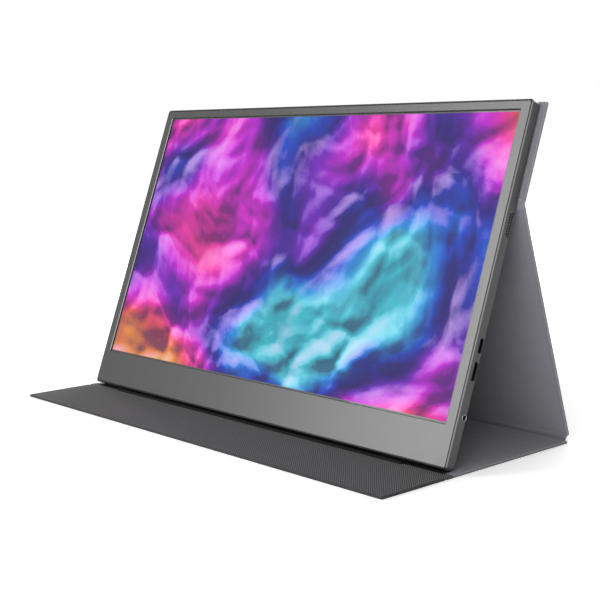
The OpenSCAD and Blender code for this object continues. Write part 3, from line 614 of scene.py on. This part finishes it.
# Finishes of the small and the inner parts, with what each gives the eye:
# colour, roughness, other sockets, grain in mm, darker shade, relief in mm
GRAINED = {
    # Soft rubber, moulded: dull black that hardly mirrors
    "moulded_rubber": ("#141415", 0.8, {"Specular_IOR_Level": 0.12}, 0.6, "#0e0e0f", 0.03),
    # ABS, moulded: near-black with a soft sheen
    "moulded_abs": ("#242426", 0.5, {}, 0.5, "#1d1d1f", 0.01),
    # Steel sheet, stamped: bright and faintly clouded
    "stamped_steel": ("#b9bbbe", 0.28, {"Metallic": 1.0}, 0.9, "#a6a8ab", 0.004),
    # Gold on copper, plated: warm and bright
    "gold_plate": ("#d9b25c", 0.25, {"Metallic": 1.0}, 0.5, "#c69d48", 0.002),
    # Nickel, plated: a clear grey gleam
    "nickel_plate": ("#a3a3a1", 0.32, {"Metallic": 1.0}, 0.6, "#929290", 0.002),
    # Pulp board, pressed: dry, speckled and without shine
    "grey_board": ("#8a8272", 0.92, {"Specular_IOR_Level": 0.2}, 0.7, "#736c5e", 0.05),
    # Lacquered glass fibre: an even green gloss
    "solder_mask": ("#1f6a3b", 0.38, {"Coat_Weight": 0.3}, 1.6, "#17532d", 0.02),
    # Polyimide film, laminated: amber and glossy
    "polyimide_flex": ("#b2702a", 0.35, {"Coat_Weight": 0.4}, 1.1, "#8f5720", 0.01),
    # Polyester ribbon, laminated: pale and half matt
    "flat_ribbon": ("#d7d3c8", 0.55, {}, 0.8, "#c4bfb2", 0.01),
    # Closed-cell foam, cut: black pores that swallow light
    "closed_foam": ("#161617", 0.95, {"Specular_IOR_Level": 0.15}, 0.35, "#0e0e0f", 0.05),
    # Black glass, polished: deep, with sharp reflections
    "black_glass": ("#08090b", 0.12, {"Coat_Weight": 0.5}, 2.0, "#050608", 0.001),
    # Polyester film, frosted: an even milky white
    "diffuser_film": ("#e9e9ea", 0.6, {}, 1.0, "#dcdcde", 0.004),
    # Acrylic sheet, polished: clear with a cool tinge
    "clear_acrylic": ("#dcebee", 0.1, {"Transmission_Weight": 0.6}, 3.0, "#cfe0e4", 0.001),
    # Phosphor in silicone, cast: pale yellow and satin
    "phosphor_gel": ("#efe7a4", 0.4, {}, 0.6, "#e0d488", 0.01),
    # Smoked acrylic, moulded: dark and a little clear
    "smoked_pipe": ("#2c3034", 0.2, {"Transmission_Weight": 0.3}, 0.6, "#1f2226", 0.001),
    # Aluminium, turned and anodised: dark satin with a metal gleam
    "satin_control": ("#3a3a3b", 0.35, {"Metallic": 0.6}, 0.3, "#303031", 0.004),
    # Ink behind a film, printed: flat black under a thin gloss
    "printed_mask": ("#060607", 0.4, {"Coat_Weight": 0.3}, 1.0, "#040405", 0.001),
}
MATERIALS = {}


def make_materials(scene):
    """Makes every material once, from the settings."""
    if MATERIALS:
        return
    for name, values in GRAINED.items():
        MATERIALS[name] = grained(name, *values)
    cover, display = scene.cover_look, scene.display_look
    for name in ("flap_weave", "cover_weave"):
        MATERIALS[name] = woven_cloth(name, cover)
    # Microfibre, brushed: a soft clouded nap, so it has no shine and pale grazing edges
    nap = {"Specular_IOR_Level": 0.1, "Sheen_Weight": 0.08, "Sheen_Roughness": 0.45}
    MATERIALS["lining"] = grained("brushed_lining", cover.lining_light, 0.9, nap, 0.6,
                                  cover.lining_dark, 0.02)
    # Coated cloth pulled tight round a board: its grain is stretched flat, with a faint sheen. The
    # turned edge's lighter colour is a painted highlight on its rounding
    for name, dark, light in (("turned_edge", cover.edge_dark, cover.edge_highlight),
                              ("side_edge", cover.side_edge, cover.edge_dark),
                              ("flap_edge", cover.weave_dark, cover.flap_edge)):
        MATERIALS[name] = grained(name, light, 0.62, {"Specular_IOR_Level": 0.25}, 0.5, dark, 0.02)
    MATERIALS["bezel"] = blasted_metal("blasted_bezel", display)
    MATERIALS["housing"] = painted_metal("painted_housing", display)
    MATERIALS["socket"] = socket_metal("plated_socket", display)
    MATERIALS["picture"] = glowing_picture("lit_picture", screen_opening()[0])


# Geometry nodes

def pad(tree, given):
    """A flat pad with rounded corners, as a contact."""
    shape = add(tree, "GeometryNodeCurvePrimitiveQuadrilateral", {
        "Width": given["Width"], "Height": given["Length"]})
    rounded = add(tree, "GeometryNodeFilletCurve", {
        "Curve": shape, "Count": 3, "Radius": given["Corner"], "Limit Radius": True},
        mode="POLY")
    face = add(tree, "GeometryNodeFillCurve", {"Curve": rounded}, mode="NGONS")
    raised = add(tree, "GeometryNodeExtrudeMesh", {
        "Mesh": face, "Offset Scale": given["Thickness"]})
    whole = add(tree, "GeometryNodeJoinGeometry", {0: raised})
    # A second link into the same input joins the underside to the rest
    feed(whole, {0: add(tree, "GeometryNodeFlipFaces", {"Mesh": face})})
    return add(tree, "GeometryNodeMergeByDistance", {"Geometry": whole, "Distance": 1e-6})


def ring(tree, given):
    """A ring of rectangular section, sunk into the face that it stands on."""
    path = add(tree, "GeometryNodeCurvePrimitiveCircle", {
        "Resolution": 20, "Radius": given["Radius"]})
    section = add(tree, "GeometryNodeCurvePrimitiveQuadrilateral", {
        "Width": given["Width"], "Height": given["Height"]})
    swept = add(tree, "GeometryNodeCurveToMesh", {"Curve": path, "Profile Curve": section})
    sink = add(tree, "Math", {0: given["Sink"], 1: -1.0}, operation="MULTIPLY")
    down = add(tree, "CombineXYZ", {"Z": sink})
    return add(tree, "GeometryNodeTransform", {"Geometry": swept, "Translation": down})


def row_tree(name, part, sizes):
    """A tree that sets out a straight row of one part, whose own sizes are named inputs."""
    tree = bpy.data.node_groups.new(name, "GeometryNodeTree")
    tree.interface.new_socket("Geometry", in_out="OUTPUT", socket_type="NodeSocketGeometry")
    inputs = [("Count", "Int"), ("Pitch", "Float"), ("Material", "Material")]
    for label, kind in inputs + [(label, "Float") for label in sizes]:
        tree.interface.new_socket(label, in_out="INPUT", socket_type="NodeSocket" + kind)
    given = tree.nodes.new("NodeGroupInput").outputs
    made = part(tree, given)
    # The row's middle is at the origin
    step = add(tree, "CombineXYZ", {"X": given["Pitch"]})
    gaps = add(tree, "Math", {0: given["Count"], 1: 1.0}, operation="SUBTRACT")
    back = add(tree, "Math", {0: gaps, 1: -0.5}, operation="MULTIPLY")
    first = add(tree, "VectorMath", {0: step, "Scale": back}, operation="SCALE")
    row = add(tree, "GeometryNodeMeshLine", {
        "Count": given["Count"], "Start Location": first, "Offset": step})
    copies = add(tree, "GeometryNodeInstanceOnPoints", {"Points": row, "Instance": made})
    real = add(tree, "GeometryNodeRealizeInstances", {"Geometry": copies})
    done = add(tree, "GeometryNodeSetMaterial", {"Geometry": real, "Material": given["Material"]})
    add(tree, "NodeGroupOutput", {0: done})
    return tree


def rows_of(name, tree, rows, material):
    """One mesh of rows of parts. Each row is (matrix, values by the tree's input names)."""
    identifiers = {i.name: i.identifier for i in tree.interface.items_tree if i.in_out == "INPUT"}
    joined = bmesh.new()
    for matrix, values in rows:
        source = placed("row", bpy.data.meshes.new("row"))
        modifier = source.modifiers.new("Row", "NODES")
        modifier.node_group = tree
        for key, value in {**values, "Material": material}.items():
            modifier[identifiers[key]] = value
        bpy.context.view_layer.update()
        result = bpy.data.meshes.new_from_object(
            source.evaluated_get(bpy.context.evaluated_depsgraph_get()))
        source.modifiers.remove(modifier)
        result.transform(matrix)
        joined.from_mesh(result)
        bpy.data.objects.remove(source)
        bpy.data.meshes.remove(result)
    bmesh.ops.recalc_face_normals(joined, faces=joined.faces)
    return placed(name, mesh_of(name, joined, material))


def settle(piece, body, slot, *nodes):
    """Rides a piece on a body and hides the CAD nodes it stands for; slot is not used."""
    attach(piece, body)
    if nodes:
        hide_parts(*nodes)


# The cover

# The bench, the skin and the lining of the panel on each body
PANELS = {
    "base": (BASE, "base_skin", "base_lining"),
    "strut": (STRUT, "strut_skin", "strut_lining"),
    "display": (UPPER, "upper_skin", "upper_lining"),
    "flap": (FLAP, "flap_cloth", "flap_underside"),
}


def panel_ends(body):
    """Where a panel starts and ends along its bench: a hem's width outside its lining."""
    bench, _, lining = PANELS[body]
    low, high = bench.span(lining, bench.y)
    return low - HEM, high + HEM


def wrap(look, body, plan, groove_w=0.35 * MM, hem_ease=0.02 * MM, hem_drop=0.07 * MM):
    """The cloth round a panel: outside face with a pressed line, turned edge, and hem down to
    where the lining lies, in one closed shell."""
    bench, node, lining = PANELS[body]
    names, depth, slot = ("cover_weave", "side_edge", "turned_edge"), look.press_depth, "cover_skin"
    if body == "flap":
        names, depth, slot = ("flap_weave", "flap_edge", "flap_edge"), 0, "woven_cloth"
    e, t, press, skin = look.edge_r, PANEL_T, look.press_inset, look.skin_t
    seat = bench.span(lining, bench.z)[0]
    pressed = [(press + groove_w, 0), (press + groove_w / 2, depth), (press, depth),
               (press - groove_w / 2, 0)]
    side = round_over((e, 0), (0, e), (0, 0))
    inner = round_over((0, t - e), (e, t), (0, t))
    hem = [(HEM - groove_w, t), (HEM - groove_w / 3, t - hem_ease), (HEM, t - hem_drop),
           (HEM, seat), (skin, seat), (skin, skin)]
    # Woven outside, dark round the side, lightened at the inner edge as a painted highlight, and
    # brushed along the hem
    bands = ([0] * (len(pressed) + 1) + [1] * len(side) + [2] * (len(inner) - 1)
             + [3] * (len(hem) + 1))
    settle(shell(node + "_wrap", bench, plan, pressed + side + inner + hem,
                 [MATERIALS[name] for name in (*names, "lining")], bands), body, slot, node)


# A lining's soft edge, from its side to its face: how far in, and how far below the top
LINING_EDGE = ((0.0, 0.16 * MM), (0.08 * MM, 0.06 * MM), (0.3 * MM, 0.02 * MM))


def line(look, body, plan):
    """The lining: a thin sheet laid into the hem, with a soft edge."""
    bench, _, node = PANELS[body]
    low, high = bench.span(node, bench.z)
    inset = HEM + look.lining_gap
    profile = [(inset, low)] + [(inset + run, high - drop) for run, drop in LINING_EDGE]
    piece = shell(node + "_sheet", bench, plan, profile, [MATERIALS["lining"]])
    settle(piece, body, "lining", node)


def thin(look, path, fold, spread=2.4 * MM):
    """Thickness along a strip: thin at the fold, and a hair over a panel's where it laps one."""
    full = PANEL_T + 2 * look.lap
    return [look.fold_t + (full - look.fold_t)
            * min(math.dist(point, (fold.y, fold.z)) / spread, 1) ** 2 for point in path]


def fold_cloth(name, path, thick, widths, cloth, a, b, fold, legs, reach, *nodes,
               least_side=0.0101):
    """A strip of cloth shaped round a fold between the panels of bodies a and b, and baked where it
    lies. a, b, fold, legs, reach and least_side are not used. A sheet's side may not be said to be
    under 10 mm, so least_side takes its place."""
    piece = strip(name, path, thick, widths, [MATERIALS[kind] for kind in cloth])
    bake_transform(piece)
    if nodes:
        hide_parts(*nodes)


def rear_fold(look, bend_r=0.55 * MM, straight=MM, reach=0.7 * MM):
    """Cloth from the base round the fold to the strut. It is notched at both ends, and the notch
    runs out between the straight part and the strut's edge."""
    legs, strut_start = (Vector((0, -1, 0)), STRUT_UP), panel_ends("strut")[0]
    base_reach = REAR_FOLD.y - (FRONT_FOLD.y + panel_ends("base")[1]) + look.tuck
    path = fillet_line(REAR_FOLD, legs[0], base_reach, legs[1], strut_start + look.tuck, bend_r)
    widths = []
    for y, z in path:
        up = (Vector((0, y, z)) - REAR_FOLD).dot(STRUT_UP)
        share = min(max((up - straight) / (strut_start - straight), 0), 1)
        widths.append(COVER_W / 2 - look.notch + (look.notch - look.fold_corner_r) * share)
    fold_cloth("rear_fold_cloth", path, thin(look, path, REAR_FOLD), widths,
               ("cover_weave", "lining"), "base", "strut", REAR_FOLD, legs, reach)


def top_fold(look, play=0.1 * MM, reach=1.6 * MM):
    """A soft bend over the whole width, from the strut to the upper panel."""
    legs = -STRUT_UP, UPPER.y
    low = (TOP_FOLD - STRUT.at(0, panel_ends("strut")[1], 0)).dot(STRUT_UP)
    high = panel_ends("display")[0]
    bend_r = (low - play) * math.tan(legs[0].angle(legs[1]) / 2)
    path = fillet_line(TOP_FOLD, legs[0], low + look.tuck, legs[1], high + look.tuck, bend_r)
    fold_cloth("top_fold_cloth", path, thin(look, path, TOP_FOLD), [COVER_W / 2] * len(path),
               ("cover_weave", "lining"), "strut", "display", TOP_FOLD, legs, reach)


def front_fold(look, dip=0.35 * MM, spread=1.6 * MM, steps=28, reach=0.9 * MM):
    """The weave runs on over the fold to the base, dipped where the flap turns."""
    start = FRONT_FOLD.y + panel_ends("base")[0] + look.tuck
    end = FRONT_FOLD.y - panel_ends("flap")[0] - look.tuck
    path, thick = [], []
    for k in range(steps + 1):
        y = start + (end - start) * k / steps
        bent = 0.5 + 0.5 * math.cos(math.pi * min(abs(y - FRONT_FOLD.y) / spread, 1))
        top, bottom = PANEL_T + look.lap - dip * bent, look.lap + dip * bent
        path.append((y, (top + bottom) / 2))
        thick.append(top - bottom)
    fold_cloth("front_fold_cloth", path, thick, [COVER_W / 2] * len(path), ["flap_weave"] * 2,
               "base", "flap", FRONT_FOLD, ((0, 1, 0), (0, -1, 0)), reach, "groove_strip")


def shade_mat(look, corner_r=MM, share=0.6):
    """A thin black sheet on the base, painted shade that fills a share of the gap under the
    display.
    """
    low, gap = PANEL_T - look.lap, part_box("foot_pads")[0].z - PANEL_T
    high = PANEL_T + share * gap
    front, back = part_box("stop_rib")[1].y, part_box("foot_pads")[1].y + look.shade_mat_inset
    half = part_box("rear_housing")[1].x - look.shade_mat_inset
    plan = (2 * half, front - FRONT_FOLD.y, back - FRONT_FOLD.y, corner_r, corner_r)
    mat = shell("shade_mat", BASE, plan, [(0, low), (0, high - look.lap), (look.lap, high)],
                [MATERIALS["moulded_rubber"]])
    settle(mat, "base", "foot_rubber")


# The stage

def seen_tree(owner):
    """Empties the node tree of a material or the world. Returns it and a mask of what the camera
    sees: directly, in a gloss or through a clear part."""
    owner.use_nodes = True
    tree = owner.node_tree
    tree.nodes.clear()
    path = add(tree, "LightPath").outputs
    seen = path["Is Camera Ray"]
    for kind in ("Is Glossy Ray", "Is Transmission Ray"):
        seen = add(tree, "Math", {0: seen, 1: path[kind]}, operation="MAXIMUM")
    return tree, seen


def floor(look, near=0.6, far=2.0, near_glow=0.3, far_glow=0.9):
    """A pale matt disc. Where it is seen it glows, and the more so from the near distance to the
    far one, so that it melts into the background but keeps the object's shadow."""
    made = bpy.data.materials.new("pale_floor")
    tree, seen = seen_tree(made)
    matt = add(tree, "BsdfDiffuse", {"Color": linear("#f2f2f2")})
    place = add(tree, "TexCoord").outputs["Object"]
    away = add(tree, "VectorMath", {0: place}, operation="LENGTH").outputs["Value"]
    strength = add(tree, "MapRange", {
        "Value": away, "From Min": near, "From Max": far, "To Min": near_glow,
        "To Max": far_glow})
    glow = add(tree, "Emission", {"Color": (1, 1, 1, 1), "Strength": strength})
    both = add(tree, "AddShader", {0: matt, 1: glow})
    mixed = add(tree, "MixShader", {0: seen, 1: matt, 2: both})
    add(tree, "OutputMaterial", {0: mixed})
    shape = bmesh.new()
    bmesh.ops.create_circle(shape, cap_ends=True, radius=look.floor_r, segments=96)
    placed("floor", mesh_of("floor", shape, made))


def room(scene, look):
    """An even soft light from all around, with a white background where it is seen."""
    scene.world = bpy.data.worlds.new("room")
    tree, seen = seen_tree(scene.world)
    soft, white = (add(tree, "Background", {"Color": (1, 1, 1, 1), "Strength": level})
                   for level in (look.sky, 1.0))
    mixed = add(tree, "MixShader", {0: seen, 1: soft, 2: white})
    add(tree, "OutputWorld", {0: mixed})


def lamps(look):
    """Four soft lamps that point at the middle of the display: where each is, its size, power."""
    middle = Vector((0, 0.02, 0.08))
    for name, place, width, height, watts in (
            ("key_light", (-0.91, -1.31, 0.82), 0.5, 1.3, look.key_power),
            ("fill_light", (0.76, -1.18, 0.70), 1.3, 1.1, look.fill_power),
            ("back_light", (-0.35, 1.55, 0.85), 1.4, 1.0, look.back_power),
            ("side_light", (-1.20, 0.28, 0.35), 0.4, 0.4, look.side_power)):
        lamp = bpy.data.lights.new(name, "AREA")
        lamp.shape, lamp.size, lamp.size_y, lamp.energy = "RECTANGLE", width, height, watts
        holder = placed(name, lamp)
        holder.location = place
        holder.rotation_euler = (middle - Vector(place)).to_track_quat("-Z", "Y").to_euler()


def camera(scene):
    """The camera, from its place and the directions of its picture's right side and top."""
    place = (0.6131, -0.5481, 0.1947)
    right = Vector((0.68240, 0.73095, -0.00569))
    up = Vector((-0.09438, 0.09582, 0.99091))
    lens = bpy.data.cameras.new("camera")
    lens.lens, lens.sensor_width = 71.89, 36.0
    lens.clip_start, lens.clip_end = 0.01, 50.0
    scene.camera = placed("camera", lens)
    scene.camera.matrix_world = facing(place, right, up, right.cross(up))
    scene.view_settings.view_transform = "Standard"


# Operators

class PORTDISPLAY_OT_cover_panels(bpy.types.Operator):
    """Wraps the four stiffened panels of the cover and lines them"""
    bl_idname = "portdisplay.cover_panels"
    bl_label = "Cover panels"

    def execute(self, context):
        make_materials(context.scene)
        look = context.scene.cover_look
        for body in PANELS:
            # The strut lies between two folds, and the base ends at one
            end_r = look.fold_corner_r if body in ("base", "strut") else look.outer_corner_r
            plan = (COVER_W, *panel_ends(body), look.fold_corner_r, end_r)
            wrap(look, body, plan)
            line(look, body, plan)
        return {"FINISHED"}


class PORTDISPLAY_OT_cover_folds(bpy.types.Operator):
    """Joins the panels with the three soft folds, and lays a black sheet of painted shade under the
    display's foot
    """
    bl_idname = "portdisplay.cover_folds"
    bl_label = "Cover folds"

    def execute(self, context):
        make_materials(context.scene)
        for step in (rear_fold, top_fold, front_fold, shade_mat):
            step(context.scene.cover_look)
        return {"FINISHED"}


class PORTDISPLAY_OT_screen_film(bpy.types.Operator):
    """Lays the screen's front film, with the lit picture and its black border, on the glass"""
    bl_idname = "portdisplay.screen_film"
    bl_label = "Screen film"

    def execute(self, context):
        make_materials(context.scene)
        look = context.scene.display_look
        gap, corner_r, edge = look.film_gap, 0.3 * MM, 0.04 * MM
        w, low, high = screen_opening()
        glass = DISPLAY.span("lcd_cell", DISPLAY.z)[1]
        top = glass + look.film_t
        plan = (w - 2 * gap, low + gap, high - gap, corner_r, corner_r)
        film = shell("screen_film", DISPLAY, plan,
                     [(0, glass), (0, top - edge), (edge, top), (look.mask_w, top)],
                     [MATERIALS["printed_mask"], MATERIALS["picture"]], [0, 0, 0, 0, 1])
        settle(film, "display", "screen_glass")
        return {"FINISHED"}


class PORTDISPLAY_OT_port_contacts(bpy.types.Operator):
    """Puts gold contacts on the tongues of the two sockets, and a bright collar on the jack"""
    bl_idname = "portdisplay.port_contacts"
    bl_label = "Port contacts"

    def execute(self, context):
        make_materials(context.scene)
        sizes = {"Length": 2.6 * MM, "Width": context.scene.display_look.contact_w,
                 "Thickness": 0.05 * MM, "Corner": 0.06 * MM}
        sunk, tongue_half_t = 2.6 * MM, 0.34 * MM
        rows = []
        for node, count, pitch in (("data_port", 12, 0.5 * MM), ("video_port", 10, 0.8 * MM)):
            for face in (1, -1):
                # The row runs up the screen, and each pad points out of the side
                place = DISPLAY.beside(node, DISPLAY_SIDE - sunk, face * tongue_half_t)
                rows.append((facing(place, DISPLAY.y, DISPLAY.x, DISPLAY.z * face),
                             {"Count": count, "Pitch": pitch, **sizes}))
        contacts = rows_of("port_contacts", row_tree("Row of pads", pad, sizes), rows,
                           MATERIALS["gold_plate"])
        settle(contacts, "display", "port_shell")
        inner, outer, chamfer = 1.72 * MM, 2.12 * MM, 0.06 * MM
        bore_end, foot, shoulder, top = -0.5 * MM, -0.1 * MM, 0.02 * MM, 0.1 * MM
        profile = [(inner, bore_end), (inner, shoulder), (inner + chamfer, top),
                   (outer - chamfer, top), (outer, shoulder), (outer, foot)]
        collar = revolve("jack_collar", DISPLAY.beside("audio_jack", DISPLAY_SIDE), DISPLAY.x,
                         DISPLAY.y, profile, MATERIALS["nickel_plate"])
        settle(collar, "display", "port_shell")
        return {"FINISHED"}


class PORTDISPLAY_OT_grilles(bpy.types.Operator):
    """Lines the drilled holes of the two speaker grilles with black sleeves, as painted shade in
    the holes
    """
    bl_idname = "portdisplay.grilles"
    bl_label = "Speaker grilles"

    def execute(self, context):
        make_materials(context.scene)
        look = context.scene.display_look
        # Each hole has a thin flange outside and a sleeve down through the wall, both black as
        # painted shade
        flange = {"Radius": look.grille_hole + 0.07 * MM, "Width": 0.3 * MM,
                  "Height": 0.06 * MM, "Sink": 0.0}
        sleeve = {"Radius": look.grille_hole - 0.02 * MM, "Width": 0.03 * MM,
                  "Height": 0.94 * MM, "Sink": 0.5 * MM}
        # Of each column, the number of its holes and its place in gaps from their middle
        columns = ((9, -0.5), (8, 0.5))
        depth = DISPLAY.middle("status_light", DISPLAY.z)
        rows = []
        for speaker, sign in (("speaker_right", 1), ("speaker_left", -1)):
            for count, shift in columns:
                place = DISPLAY.at(sign * DISPLAY_SIDE, DISPLAY.middle(speaker, DISPLAY.y),
                                   depth + shift * look.grille_gap)
                matrix = facing(place, DISPLAY.y, DISPLAY.z * sign, DISPLAY.x * sign)
                rows += [(matrix, {"Count": count, "Pitch": look.grille_pitch, **sizes})
                         for sizes in (flange, sleeve)]
        sleeves = rows_of("grille_painted_shade", row_tree("Row of rings", ring, flange), rows,
                          MATERIALS["moulded_rubber"])
        settle(sleeves, "display", "housing_metal")
        return {"FINISHED"}


class PORTDISPLAY_OT_finishes(bpy.types.Operator):
    """Gives every part that keeps its own shape its finish"""
    bl_idname = "portdisplay.finishes"
    bl_label = "Finishes of the shaped parts"

    def execute(self, context):
        make_materials(context.scene)
        for name, nodes in {
                "grey_board": "base_board flap_board strut_board upper_board",
                "moulded_rubber": "stop_rib foot_pads",
                "nickel_plate": "flap_magnets upper_magnets display_magnets wheel_pin",
                "bezel": "front_bezel",
                "housing": "rear_housing",
                "closed_foam": "screen_gasket",
                "black_glass": "lcd_cell",
                "diffuser_film": "optical_sheets",
                "clear_acrylic": "light_guide",
                "phosphor_gel": "led_bar",
                "stamped_steel": "module_tray board_screws",
                "socket": "data_port video_port",
                "solder_mask": "source_board main_board control_board",
                "polyimide_flex": "panel_flex",
                "flat_ribbon": "control_ribbon",
                "moulded_abs": "power_switch audio_jack speaker_right speaker_left",
                "smoked_pipe": "status_light",
                "satin_control": "power_button menu_wheel"}.items():
            for node in nodes.split():
                NODES[node].data.materials.clear()
                NODES[node].data.materials.append(MATERIALS[name])
        return {"FINISHED"}


class PORTDISPLAY_OT_stage(bpy.types.Operator):
    """Sets the pale floor, the soft lights and the camera"""
    bl_idname = "portdisplay.stage"
    bl_label = "Stage"

    def execute(self, context):
        look = context.scene.stage_look
        floor(look)
        room(context.scene, look)
        lamps(look)
        camera(context.scene)
        return {"FINISHED"}


class PORTDISPLAY_PT_panel(bpy.types.Panel):
    """Lists the steps and the settings"""
    bl_label = "Portable display"
    bl_idname = "PORTDISPLAY_PT_panel"
    bl_space_type = "VIEW_3D"
    bl_region_type = "UI"
    bl_category = "Display"

    def draw(self, context):
        for name in LOOKS:
            look, box = getattr(context.scene, name), self.layout.box()
            for key in look.__annotations__:
                box.prop(look, key)
        for step in STEPS:
            self.layout.operator(step.bl_idname)


STEPS = (PORTDISPLAY_OT_stage, PORTDISPLAY_OT_cover_panels, PORTDISPLAY_OT_cover_folds,
         PORTDISPLAY_OT_screen_film, PORTDISPLAY_OT_port_contacts, PORTDISPLAY_OT_grilles,
         PORTDISPLAY_OT_finishes)
LOOKS = {"cover_look": CoverLook, "display_look": DisplayLook, "stage_look": StageLook}


def register():
    for kind in (*LOOKS.values(), *STEPS, PORTDISPLAY_PT_panel):
        bpy.utils.register_class(kind)
    for name, kind in LOOKS.items():
        setattr(bpy.types.Scene, name, bpy.props.PointerProperty(type=kind))


def unregister():
    for name in LOOKS:
        delattr(bpy.types.Scene, name)
    for kind in (PORTDISPLAY_PT_panel, *reversed(STEPS), *LOOKS.values()):
        bpy.utils.unregister_class(kind)


def main():
    register()
    for step in STEPS:
        group, name = step.bl_idname.split(".")
        getattr(getattr(bpy.ops, group), name)()


if __name__ == "__main__":
    main()
